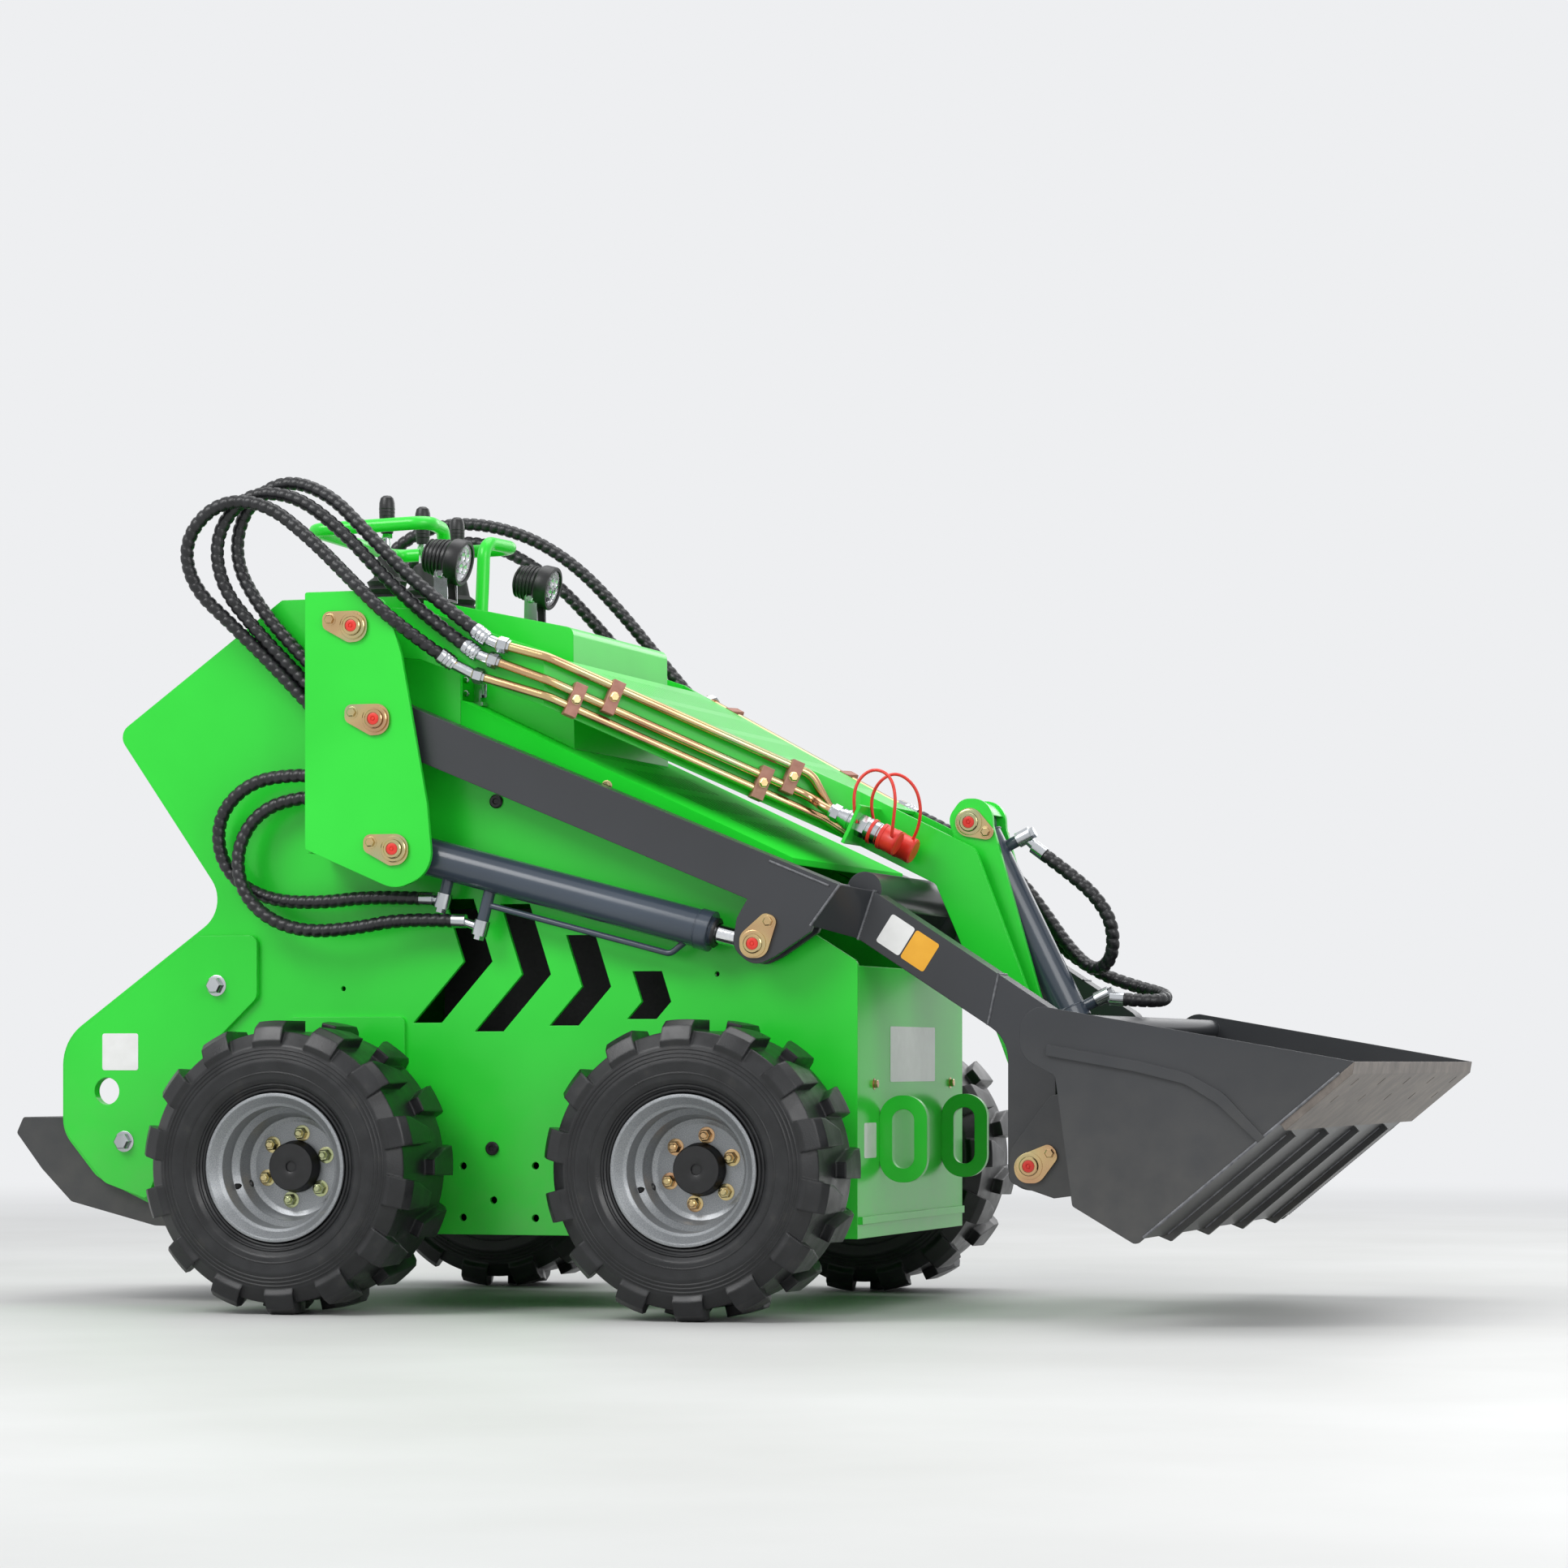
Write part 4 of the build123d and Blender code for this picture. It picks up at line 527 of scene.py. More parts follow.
def lathe(drawing, profile, middle, out, sides, turn=0.0):
    """Turns (radius, height) pairs about a line from a point; six sides give a hexagon."""
    out = Vector(out).normalized()
    side = out.orthogonal().normalized()
    side = Matrix.Rotation(turn, 3, out) @ side
    up = out.cross(side)
    rings = []
    for radius, height in profile:
        centre = Vector(middle) + out * height
        if radius < 0.001:
            rings.append([drawing.verts.new(centre)])
            continue
        ring = []
        for k in range(sides):
            angle = 2 * math.pi * k / sides
            ring.append(drawing.verts.new(centre + (side * math.cos(angle) + up * math.sin(angle)) * radius))
        rings.append(ring)
    for near, far in zip(rings, rings[1:]):
        for k in range(sides):
            after = (k + 1) % sides
            if len(near) == 1:
                drawing.faces.new((near[0], far[after], far[k]))
            elif len(far) == 1:
                drawing.faces.new((near[k], near[after], far[0]))
            else:
                drawing.faces.new((near[k], near[after], far[after], far[k]))


WHEEL_HEIGHT = 228.5
TRACK_HALF = 472.0
# name, x of the axle, side
WHEELS = [
    ("front_right", 116, -1),
    ("front_left", 116, 1),
    ("rear_right", -553, -1),
    ("rear_left", -553, 1),
]
# raised ribs on the sidewall: radius, distance of the wall from the tyre's middle, height, width
SIDEWALL_RIBS = [
    (121, 90.0, 3.0, 5),
    (129, 96.5, 2.2, 3),
    (148, 103.8, 1.6, 3),
    (172, 104.2, 1.6, 3),
    (178, 102.8, 1.6, 3),
    (184, 101.4, 1.6, 3),
]
for name, x, side in WHEELS:
    NODES["tyre_" + name].data.materials[0] = tyre_rubber
    hub = (x, side * TRACK_HALF, WHEEL_HEIGHT)
    for face in (-1, 1):
        drawing = bmesh.new()
        for radius, wall, rise, width in SIDEWALL_RIBS:
            half = width / 2
            rib = [
                (radius - half - 1, wall - 3),
                (radius - half, wall + rise * 0.6),
                (radius, wall + rise),
                (radius + half, wall + rise * 0.6),
                (radius + half + 1, wall - 3),
            ]
            lathe(drawing, rib, hub, (0, face, 0), 72)
        which = "out" if face == side else "in"
        piece(f"sidewall_ribs_{name}_{which}", drawing, tyre_rubber, "wheel_" + name, 60)

# ---------------------------------------------------------------- wheels
# Pressed steel disc wheels in silver lacquer on splined hubs, held by six plated nuts
# round a black hub cap, with a rubber valve through the disc.

# lacquer full of metal flakes: grey specks about 1.4 mm across, and a shine that varies in
# soft clouds of some 55 mm
silver_lacquer, tree, shader = finish_of("sprayed_silver_lacquer", Metallic=0.55, Coat_Weight=0.2)
place = add(tree, "ShaderNodeTexCoord")
flake = add(tree, "ShaderNodeTexNoise", {"Scale": 700.0, "Detail": 2.0}, {"Vector": place.outputs["Object"]})
ramp = {"stops": [(0.3, linear("#7F8285")), (0.7, linear("#A3A6A8"))]}
tint = add(tree, "ShaderNodeValToRGB", ramp, {"Fac": flake.outputs["Fac"]})
tree.links.new(tint.outputs["Color"], shader.inputs["Base Color"])
cloud = add(tree, "ShaderNodeTexNoise", {"Scale": 18.0, "Detail": 4.0}, {"Vector": place.outputs["Object"]})
sheen = add(tree, "ShaderNodeMapRange", {"To Min": 0.30, "To Max": 0.48}, {"Value": cloud.outputs["Fac"]})
tree.links.new(sheen.outputs[0], shader.inputs["Roughness"])
edge = add(tree, "ShaderNodeBevel", {"samples": 4, "Radius": 0.003})
bump = add(
    tree,
    "ShaderNodeBump",
    {"Strength": 0.08, "Distance": 0.0003},
    {"Height": flake.outputs["Fac"], "Normal": edge.outputs["Normal"]},
)
tree.links.new(bump.outputs["Normal"], shader.inputs["Normal"])


def plated(name, first, second, third, roughness):
    """Electroplated steel: the passivated film changes colour from place to place."""
    made, tree, shader = finish_of(name, Metallic=1.0)
    place = add(tree, "ShaderNodeTexCoord")
    where = {"Vector": place.outputs["Object"]}
    film = add(tree, "ShaderNodeTexNoise", {"Scale": 9.0, "Detail": 2.0}, where)
    ramp = {"stops": [(0.34, linear(first)), (0.5, linear(second)), (0.66, linear(third))]}
    tint = add(tree, "ShaderNodeValToRGB", ramp, {"Fac": film.outputs["Fac"]})
    tree.links.new(tint.outputs["Color"], shader.inputs["Base Color"])
    smear = add(tree, "ShaderNodeTexNoise", {"Scale": 45.0, "Detail": 2.0}, where)
    span = {"To Min": roughness * 0.7, "To Max": roughness * 1.4}
    rough = add(tree, "ShaderNodeMapRange", span, {"Value": smear.outputs["Fac"]})
    tree.links.new(rough.outputs[0], shader.inputs["Roughness"])
    bump = add(tree, "ShaderNodeBump", {"Strength": 0.03, "Distance": 0.0002}, {"Height": smear.outputs[0]})
    tree.links.new(bump.outputs["Normal"], shader.inputs["Normal"])
    return made


yellow_zinc = plated("yellow_passivated_zinc", "#BC8E70", "#CDB381", "#B0B68C", 0.22)
bright_zinc = plated("bright_zinc_plate", "#AEB2B5", "#C6C9CC", "#B8BCC0", 0.22)

# moulded black nylon: nearly black and satin, with a fine grain; hub caps, grips, lamp shells
black_nylon = cloudy(
    "moulded_black_nylon",
    "#101011",
    "#1D1D1F",
    clouds=60.0,
    detail=4.0,
    shine=(0.3, 0.5),
    grain=1200.0,
    relief=0.2,
    depth=0.0002,
)


def hex_screw(drawing, middle, out, across, head, washer=0.0, thread=0.0, turn=0.3):
    """Hexagon head or nut with a chamfered top, on a round washer, with the thread's end."""
    radius = across / 2 / math.cos(math.pi / 6)
    base = washer * 0.08
    if washer:
        rim = [(0, 0), (washer, 0), (washer, base * 0.8), (washer - 0.6, base), (0, base)]
        lathe(drawing, rim, middle, out, 28)
    seat = Vector(middle) + Vector(out).normalized() * base
    flats = [(0, 0), (radius, 0), (radius, head * 0.82), (across / 2 * 0.92, head), (0, head)]
    lathe(drawing, flats, seat, out, 6, turn)
    if thread:
        tip = head + thread
        end = [(thread, head - 1), (thread, head + thread * 0.8), (thread * 0.7, tip), (0, tip)]
        lathe(drawing, end, seat, out, 16)


DISC_OUT = 8.0  # the disc's face lies this far outboard of the wheel's middle
NUT_CIRCLE = 53.0
VALVE_CIRCLE = 84.0
FIRST_NUT, VALVE_TURN = 20, 200  # degrees round from the front
# radius and height of the hub cap, from its skirt over the rim to the dimple in the middle
HUB_CAP = [
    (40, -1),
    (41, 3),
    (39, 6),
    (38.4, 20),
    (36, 24),
    (20, 25.5),
    (10, 25.5),
    (8.5, 24.5),
    (8.5, 21.5),
    (0, 21.5),
]
VALVE = [(0, 0), (8.5, 0), (8.5, 4), (5.5, 8), (4.5, 22), (5, 22.5), (5, 34), (4, 36), (0, 36)]
for name, x, side in WHEELS:
    NODES["wheel_" + name].data.materials[0] = silver_lacquer
    face_y = side * (TRACK_HALF + DISC_OUT)
    out = (0, side, 0)
    nuts = bmesh.new()
    for k in range(6):
        angle = math.radians(60 * k + FIRST_NUT)
        seat = (x + NUT_CIRCLE * math.cos(angle), face_y, WHEEL_HEIGHT + NUT_CIRCLE * math.sin(angle))
        hex_screw(nuts, seat, out, 17, 11, washer=13, thread=5.5, turn=angle)
    piece("wheel_nuts_" + name, nuts, yellow_zinc, "wheel_" + name)
    cap = bmesh.new()
    lathe(cap, HUB_CAP, (x, face_y, WHEEL_HEIGHT), out, 48)
    piece("hub_cap_" + name, cap, black_nylon, "wheel_" + name, 40)
    valve = bmesh.new()
    angle = math.radians(VALVE_TURN)
    ahead, above = math.cos(angle), math.sin(angle)
    seat = (x + VALVE_CIRCLE * ahead, face_y + side * 4, WHEEL_HEIGHT + VALVE_CIRCLE * above)
    # it leans out by one in four
    lathe(valve, VALVE, seat, (0.25 * ahead, side, 0.25 * above), 20)
    piece("tyre_valve_" + name, valve, black_nylon, "wheel_" + name)

# ---------------------------------------------------------------- pins
# Case-hardened pins in yellow zinc, each kept from turning by a flame-cut keeper plate
# with one screw; a red plastic plug closes the greaseway in the pin's end.
# polyethylene: an even, saturated red with a waxy shine; flow marks about 12 mm across
red_plastic = cloudy(
    "moulded_red_polyethylene",
    "#D5281E",
    "#E8402F",
    clouds=80.0,
    detail=3.0,
    relief=0.1,
    depth=0.0003,
    Roughness=0.38,
    Coat_Weight=0.1,
)

for name in "tower_pins arm_pins attach_pins link_front_pin tilt_top_pin".split():
    NODES[name].data.materials[0] = yellow_zinc

SIDES = ((-1, "right"), (1, "left"))
KEEPER_THICK = 4.5
PIN_END = [(0, 0), (15, 0), (15, 0.8), (13.6, 2), (10, 2), (9.6, 0.4), (0, 0.4)]
PLUG = [(9.4, 0.4), (9.2, 1.6), (6, 2.4), (4, 2.2), (3.4, 1.2), (2.6, 1.2), (2.2, 2.6), (0, 2.8)]
# name, x, z, y of the pin's end and of the face under its collar, screw's x and z from the pin,
# body, and whether the keeper plate is made here
PINS = [
    ("link_tower_pin", -490, 1082, 412, 405, -39, 11, "chassis", False),
    ("arm_tower_pin", -452, 934, 412, 405, -39, 11, "chassis", False),
    ("lift_tower_pin", -420, 728, 412, 405, -39, 11, "chassis", False),
    ("lift_rod_pin", 167, 575, 383, 380, 25, 34, "lift_arm", False),
    ("attachment_pin", 590, 233, 320, 317, 33, 20, "bucket", False),
    ("tilt_pin", 423, 775, 54, 46, 28, -16, "front_carriage", True),
    ("link_nose_pin", 552, 381, 84, 76, -27, 12, "upper_link", True),
]
for name, x, z, end, face, dx, dz, body, keeper in PINS:
    collars = bmesh.new()
    plugs = bmesh.new()
    for side, hand in SIDES:
        out = (0, side, 0)
        seat_y = face + KEEPER_THICK if keeper else face
        if keeper:
            # a flat plate round the pin that narrows to the screw
            plate = bmesh.new()
            for reach, middle_x, middle_z in ((23, x, z), (12, x + dx, z + dz)):
                for level in (face + 0.1, seat_y):
                    for k in range(28):
                        angle = 2 * math.pi * k / 28
                        rim_x = middle_x + reach * math.cos(angle)
                        rim_z = middle_z + reach * math.sin(angle)
                        plate.verts.new((rim_x, side * level, rim_z))
            hull = bmesh.ops.convex_hull(plate, input=plate.verts)
            spare = [v for v in hull["geom_interior"] if isinstance(v, bmesh.types.BMVert)]
            bmesh.ops.delete(plate, geom=spare, context="VERTS")
            piece(f"{name}_keeper_{hand}", plate, yellow_zinc, body)
        step = end - seat_y
        collar = [(14.5, 0), (21, 0), (21, step * 0.45), (19.5, step * 0.6), (15.4, step * 0.6), (15.4, 0.2)]
        lathe(collars, collar, (x, side * seat_y, z), out, 40)
        lathe(collars, PIN_END, (x, side * end, z), out, 40)
        hex_screw(collars, (x + dx, side * seat_y, z + dz), out, 13, 7, washer=9.5)
        lathe(plugs, PLUG, (x, side * end, z), out, 28)
    piece(name + "_collars", collars, yellow_zinc, body)
    piece(name + "_plugs", plugs, red_plastic, body)

# ---------------------------------------------------------------- chassis hardware
# Bright-plated structural screws through the rear plates, small plated screws in the
# front panel and the hood's flanges, moulded plugs, draw latches, and blank vinyl labels.

# printed vinyl: even colour under a clear film, rippled every 25 mm by the paint beneath
VINYL = {"clouds": 40.0, "detail": 3.0, "relief": 0.1, "depth": 0.0003, "Roughness": 0.35, "Coat_Weight": 0.3}
white_vinyl = cloudy("printed_white_vinyl", "#E2E2DF", "#EDEDEB", **VINYL)
yellow_vinyl = cloudy("printed_yellow_vinyl", "#E8A51C", "#F0B02A", **VINYL)


def label(name, middle, across, up, width, height, material, body):
    """Thin blank label with rounded corners, lying on a face."""
    corner, thick = 4, 0.6
    across = Vector(across).normalized()
    up = Vector(up).normalized()
    out = across.cross(up)
    drawing = bmesh.new()
    layers = []
    for lift in (0.0, thick):
        ring = []
        for cx, cy, start in ((1, 1, 0), (-1, 1, 90), (-1, -1, 180), (1, -1, 270)):
            for step in range(5):
                angle = math.radians(start + step * 22.5)
                px = cx * (width / 2 - corner) + corner * math.cos(angle)
                py = cy * (height / 2 - corner) + corner * math.sin(angle)
                ring.append(drawing.verts.new(Vector(middle) + across * px + up * py + out * lift))
        layers.append(ring)
    under, top = layers
    drawing.faces.new(reversed(under))
    drawing.faces.new(top)
    for k in range(len(top)):
        after = (k + 1) % len(top)
        drawing.faces.new((under[k], under[after], top[after], top[k]))
    piece(name, drawing, material, body)


FRONT_FACE = 314  # x of the front panel's face
REAR_FACE = 318  # y of the rear plates' outer faces
SIDE_FACE = 308  # y of the side plates' outer faces
PLATE_PLUG = [(0, 0), (11, 0), (11, 3), (9, 5), (5, 5), (4, 3), (0, 3)]


def side_top(x):
    """Height of the side plate's sloping upper edge, which the hood follows."""
    return 925.2 - 0.4666 * (x + 252)


label("front_label", (FRONT_FACE, 4.5, 405), (0, 1, 0), (0, 0, 1), 262, 88, white_vinyl, "chassis")
label("front_side_label", (FRONT_FACE, -239, 270), (0, 1, 0), (0, 0, 1), 66, 55, white_vinyl, "chassis")
# labels that come in pairs are numbered 1 on the right and 3 on the left
for side in (-1, 1):
    spot = (-936, side * REAR_FACE, 409)
    label(f"rear_label_{2 + side}", spot, (-side, 0, 0), (0, 0, 1), 64, 60, white_vinyl, "chassis")

plate_screws = bmesh.new()
panel_screws = bmesh.new()
plate_plugs = bmesh.new()
for side in (-1, 1):
    out = (0, side, 0)
    for x, z in ((-765, 516), (-929, 263)):
        hex_screw(plate_screws, (x, side * REAR_FACE, z), out, 24, 14, washer=17)
    for x in (-98, 127):
        hex_screw(panel_screws, (x, side * SIDE_FACE, side_top(x) - 26), out, 11, 5, washer=9)
    for x, z in ((-284, 806), (-291, 255)):
        lathe(plate_plugs, PLATE_PLUG, (x, side * SIDE_FACE, z), out, 24)
for y in (-217, 232):
    hex_screw(panel_screws, (FRONT_FACE, y, 358), (1, 0, 0), 12, 6, washer=9)
piece("rear_plate_screws", plate_screws, bright_zinc, "chassis")
piece("panel_screws", panel_screws, yellow_zinc, "chassis")
piece("side_plate_plugs", plate_plugs, black_nylon, "chassis")


def box_faces(drawing, corners):
    """Closes a box whose eight corners run round its bottom and then round its top."""
    for ring in ((0, 1, 2, 3), (4, 5, 6, 7), (0, 1, 5, 4), (1, 2, 6, 5), (2, 3, 7, 6), (3, 0, 4, 7)):
        drawing.faces.new([corners[i] for i in ring])


# toggle latch at each rear corner of the hood: base on the cover's side, lever, and hook
for side, hand in SIDES:
    latch = bmesh.new()
    for x0, x1, z0, z1, y0, y1 in (
        (-352, -330, 978, 1016, 230, 233),
        (-349, -333, 982, 1012, 233, 243),
        (-346, -336, 966, 990, 239, 247),
        (-354, -328, 963, 970, 232, 256),
    ):
        outline = ((x0, z0), (x1, z0), (x1, z1), (x0, z1))
        box_faces(latch, [latch.verts.new((x, side * y, z)) for y in (y0, y1) for x, z in outline])
    bmesh.ops.bevel(latch, geom=latch.edges[:], offset=1.2, segments=2, affect="EDGES")
    for z in (986, 1008):
        hex_screw(latch, (-366, side * 230, z), (0, side, 0), 8, 4, washer=6)
    piece("hood_latch_" + hand, latch, bright_zinc, "chassis")

# ---------------------------------------------------------------- controls
# Three spool levers: bright rods out of pleated rubber boots, with moulded grips;
# behind them a red stop button, and two round work lamps on forked brackets.

# moulded rubber: dull, nearly black, with a faint grey bloom in patches of 11 mm
pleated_rubber = cloudy(
    "moulded_black_rubber",
    "#121213",
    "#242425",
    clouds=90.0,
    detail=4.0,
    relief=0.2,
    depth=0.0003,
    Roughness=0.62,
)

# ground and hard-chromed bar: mirror-bright, its polish varying in spots of 4 mm
hard_chrome = cloudy(
    "ground_hard_chrome", "#D9DBDD", "#E6E8EA", clouds=260.0, detail=2.0, shine=(0.06, 0.16), Metallic=1.0
)
for name in "lift_rod_right lift_rod_left tilt_rod".split():
    NODES[name].data.materials[0] = hard_chrome
NODES["control_levers"].data.materials[0] = pleated_rubber
NODES["work_lamps"].data.materials[0] = black_nylon

LEVER_X = -535
LEVER_SPACING = 155
GRIP_FOOT = 1257.5
UPWARD = (0, 0, 1)
GRIP = [
    (0, 0),
    (9.8, 0),
    (10.4, 3),
    (11.6, 12),
    (12.6, 26),
    (12.9, 40),
    (12.6, 50),
    (10.4, 58),
    (6, 61.5),
    (0, 62.4),
]
rods = bmesh.new()
grips = bmesh.new()
for y in (-LEVER_SPACING, 0, LEVER_SPACING):
    lathe(rods, [(6.3, 0), (6.4, 0.1), (6.4, 36), (6.3, 36.1)], (LEVER_X, y, 1224), UPWARD, 20)
    hex_screw(rods, (LEVER_X, y, 1249), UPWARD, 16, 9)
    lathe(grips, GRIP, (LEVER_X, y, GRIP_FOOT), UPWARD, 28)
    # six raised rings for the fingers
    for step in range(6):
        low = 10 + step * 6
        swell = 11.4 + step * 0.25
        finger_ring = [(swell - 1, low - 1.6), (swell + 0.9, low), (swell - 1, low + 1.6)]
        lathe(grips, finger_ring, (LEVER_X, y, GRIP_FOOT), UPWARD, 28)
piece("lever_rods", rods, hard_chrome, "chassis")
piece("lever_grips", grips, black_nylon, "chassis")

# the button stands out of the dash's sloping rear face
MUSHROOM = [(0, -3), (15, -3), (15, 3), (13, 4), (12, 12), (19, 14), (20, 19), (19, 25), (15, 28), (0, 29)]
button = bmesh.new()
lathe(button, MUSHROOM, (-850, -110, 979), (-0.585, 0, 0.811), 36)
piece("stop_button", button, red_plastic, "chassis")

# polycarbonate lens over a bright reflector with four small emitters
CLEAR = {"Roughness": 0.04, "IOR": 1.585, "Transmission_Weight": 1.0}
lens_plastic, tree, shader = finish_of("clear_polycarbonate", **CLEAR)
place = add(tree, "ShaderNodeTexCoord")
wave = add(tree, "ShaderNodeTexVoronoi", {"Scale": 110.0}, {"Vector": place.outputs["Object"]})
ramp = {"stops": [(0.0, linear("#F4F6F8")), (1.0, linear("#FFFFFF"))]}
tint = add(tree, "ShaderNodeValToRGB", ramp, {"Fac": wave.outputs["Distance"]})
tree.links.new(tint.outputs["Color"], shader.inputs["Base Color"])
bump = add(tree, "ShaderNodeBump", {"Strength": 0.15, "Distance": 0.0005}, {"Height": wave.outputs[0]})
tree.links.new(bump.outputs["Normal"], shader.inputs["Normal"])

LAMP_X, LAMP_Y, LAMP_Z = -412, 205, 1206
LAMP_TILT = 0.25  # the lamps look down by one in four
# radius and distance from the lamp's middle
EMITTER_CUP = [(9, 33), (7, 29), (4, 27), (2, 26.6), (0, 26.6)]
REFLECTOR = [(28.5, 26.3), (28.5, 28), (25, 28), (24, 26.5), (0, 26.4)]
LENS = [(0, 30.6), (29.5, 30.2), (30.6, 31.2), (30.4, 32.6), (22, 33.6), (0, 34.2)]
BEZEL = [(35.8, 14), (37.2, 15), (37.2, 33), (36, 34.6), (32, 34.6), (30.8, 33.4), (30.8, 30)]
# x from the lamp's middle and height of the bracket's ear
EAR = [(-12, 1136), (12, 1136), (11, 1184), (5, 1192), (-5, 1192), (-11, 1184)]
aim = Vector((1, 0, -LAMP_TILT)).normalized()
for side, hand in SIDES:
    middle = Vector((LAMP_X, side * LAMP_Y, LAMP_Z))
    bowl = bmesh.new()
    for spot_y in (-9, 9):
        for spot_z in (-9, 9):
            lathe(bowl, EMITTER_CUP, middle + Vector((spot_z * LAMP_TILT, spot_y, spot_z)), aim, 20)
    lathe(bowl, REFLECTOR, middle, aim, 40)
    piece("lamp_reflector_" + hand, bowl, hard_chrome, "chassis")
    cover = bmesh.new()
    lathe(cover, LENS, middle, aim, 48)
    piece("lamp_lens_" + hand, cover, lens_plastic, "chassis")
    # five cooling fins, wider towards the front, and the ring that holds the lens
    shell = bmesh.new()
    for low in (-30, -23, -16, -9, -2):
        wide = 26.5 + 6 * (low + 34) / 34
        fin = [(18, low), (wide, low), (wide + 0.6, low + 1), (wide, low + 2.4), (18, low + 2.4)]
        lathe(shell, fin, middle, aim, 40)
    lathe(shell, BEZEL, middle, aim, 48)
    piece("lamp_fins_" + hand, shell, black_nylon, "chassis", 40)
    pivot = bmesh.new()
    for end in (-1, 1):
        ear_y = middle.y + end * 20.2
        corners = [pivot.verts.new((LAMP_X + x, ear_y + end * y, z)) for y in (0, 2) for x, z in EAR]
        inner, outer = corners[: len(EAR)], corners[len(EAR) :]
        pivot.faces.new(inner)
        pivot.faces.new(outer)
        for k in range(len(EAR)):
            after = (k + 1) % len(EAR)
            pivot.faces.new((inner[k], inner[after], outer[after], outer[k]))
        hex_screw(pivot, (LAMP_X, middle.y + end * 22.2, 1180), (0, end, 0), 11, 5, washer=8)
    piece("lamp_screws_" + hand, pivot, bright_zinc, "chassis")

# ---------------------------------------------------------------- loader arms
# Box-section arms in folded plate, seam-welded at each change of direction; the welds
# lie under the paint as low rippled beads.

# a bead shows paler than the plate round it, a rippled grey with a trace of metal
weld_metal = cloudy(
    "painted_weld_bead",
    "#55565A",
    "#7C7D80",
    clouds=120.0,
    detail=4.0,
    high=0.75,
    relief=0.4,
    depth=0.0006,
    Roughness=0.42,
    Metallic=0.2,
)


def bead(drawing, corners, radius):
    """Rippled weld bead along straight runs, one ripple to every 4 mm."""

    def ripple(travelled, angle):
        return radius * (1 + 0.16 * math.sin(travelled * 2 * math.pi / 4.0))

    for a, b in zip(corners[:-1], corners[1:]):
        a, b = Vector(a), Vector(b)
        count = max(2, int((b - a).length / 2.0))
        rings_along(drawing, [a.lerp(b, i / count) for i in range(count + 1)], 8, ripple)


ARM_HALF_DEPTH = 37.5
REAR_FALL, FRONT_FALL = 0.41, 0.648
# faces of the arm's boxes: the rear run lies further out than the front run
REAR_OUT, REAR_IN, FRONT_OUT, FRONT_IN = 375, 325, 300, 250


def rear_run_z(x, edge):
    """Height of the arm's rear run at its upper or lower edge."""
    return 934 - REAR_FALL * (x + 452) + edge * ARM_HALF_DEPTH * math.hypot(1, REAR_FALL)


def front_run_z(x, edge):
    """Height of the arm's front run at its upper or lower edge."""
    return 620 - FRONT_FALL * (x - 325) + edge * ARM_HALF_DEPTH * math.hypot(1, FRONT_FALL)


welds = bmesh.new()
for side in (-1, 1):
    # each bead runs over the top, down the outer face and back underneath
    outer, inner = side * REAR_OUT, side * REAR_IN
    top, foot = rear_run_z(305, 1), rear_run_z(258, -1)
    bead(welds, [(305, inner, top), (305, outer, top), (258, outer, foot), (258, inner, foot)], 2.2)
    plate_y = outer + side * 0.2
    outer, inner = side * FRONT_OUT, side * FRONT_IN
    top, foot = front_run_z(337, 1), front_run_z(312, -1)
    bead(welds, [(337, inner, top), (337, outer, top), (312, outer, foot), (312, inner, foot)], 2.2)
    top, foot = front_run_z(537, 1), front_run_z(520, -1)
    bead(welds, [(537, inner, top), (537, outer, top), (520, outer, foot)], 2.0)
    # along the gusset plate's top, on the rear run's outer face
    bead(welds, [(192, plate_y, rear_run_z(192, 1) - 8), (288, plate_y, rear_run_z(288, 1) - 8)], 2.0)
    along, up = Vector((1, 0, -FRONT_FALL)) * -side, (0.544, 0, 0.839)
    for word, x, z, material in (("plain", 373, 589, white_vinyl), ("yellow", 412, 563.7, yellow_vinyl)):
        spot = (x, side * FRONT_OUT, z)
        label(f"arm_label_{word}_{2 + side}", spot, along, up, 44, 50, material, "lift_arm")
piece("arm_welds", welds, weld_metal, "lift_arm", 60)

# ---------------------------------------------------------------- cylinders
# Welded hydraulic cylinders: honed tube in dark blue-grey gloss, ground chrome rods, a
# screwed gland with a black wiper, and the ripple of a seam where each end is welded on.
cylinder_gloss = paint("sprayed_blue_grey_enamel", "#353E49", "#404A56", 0.22, 0.08)
for name in "lift_barrel_right lift_barrel_left tilt_barrel".split():
    NODES[name].data.materials[0] = cylinder_gloss
for name in "lift_fittings_right lift_fittings_left tilt_fittings hose_inlets".split():
    NODES[name].data.materials[0] = bright_zinc

WIPER = [(15.6, 0), (24, 0), (24, 3), (22, 5), (17, 6), (15.6, 5)]
SEAM = [(30, -2), (31.6, -1.2), (32.2, 0), (31.6, 1.2), (30, 2)]
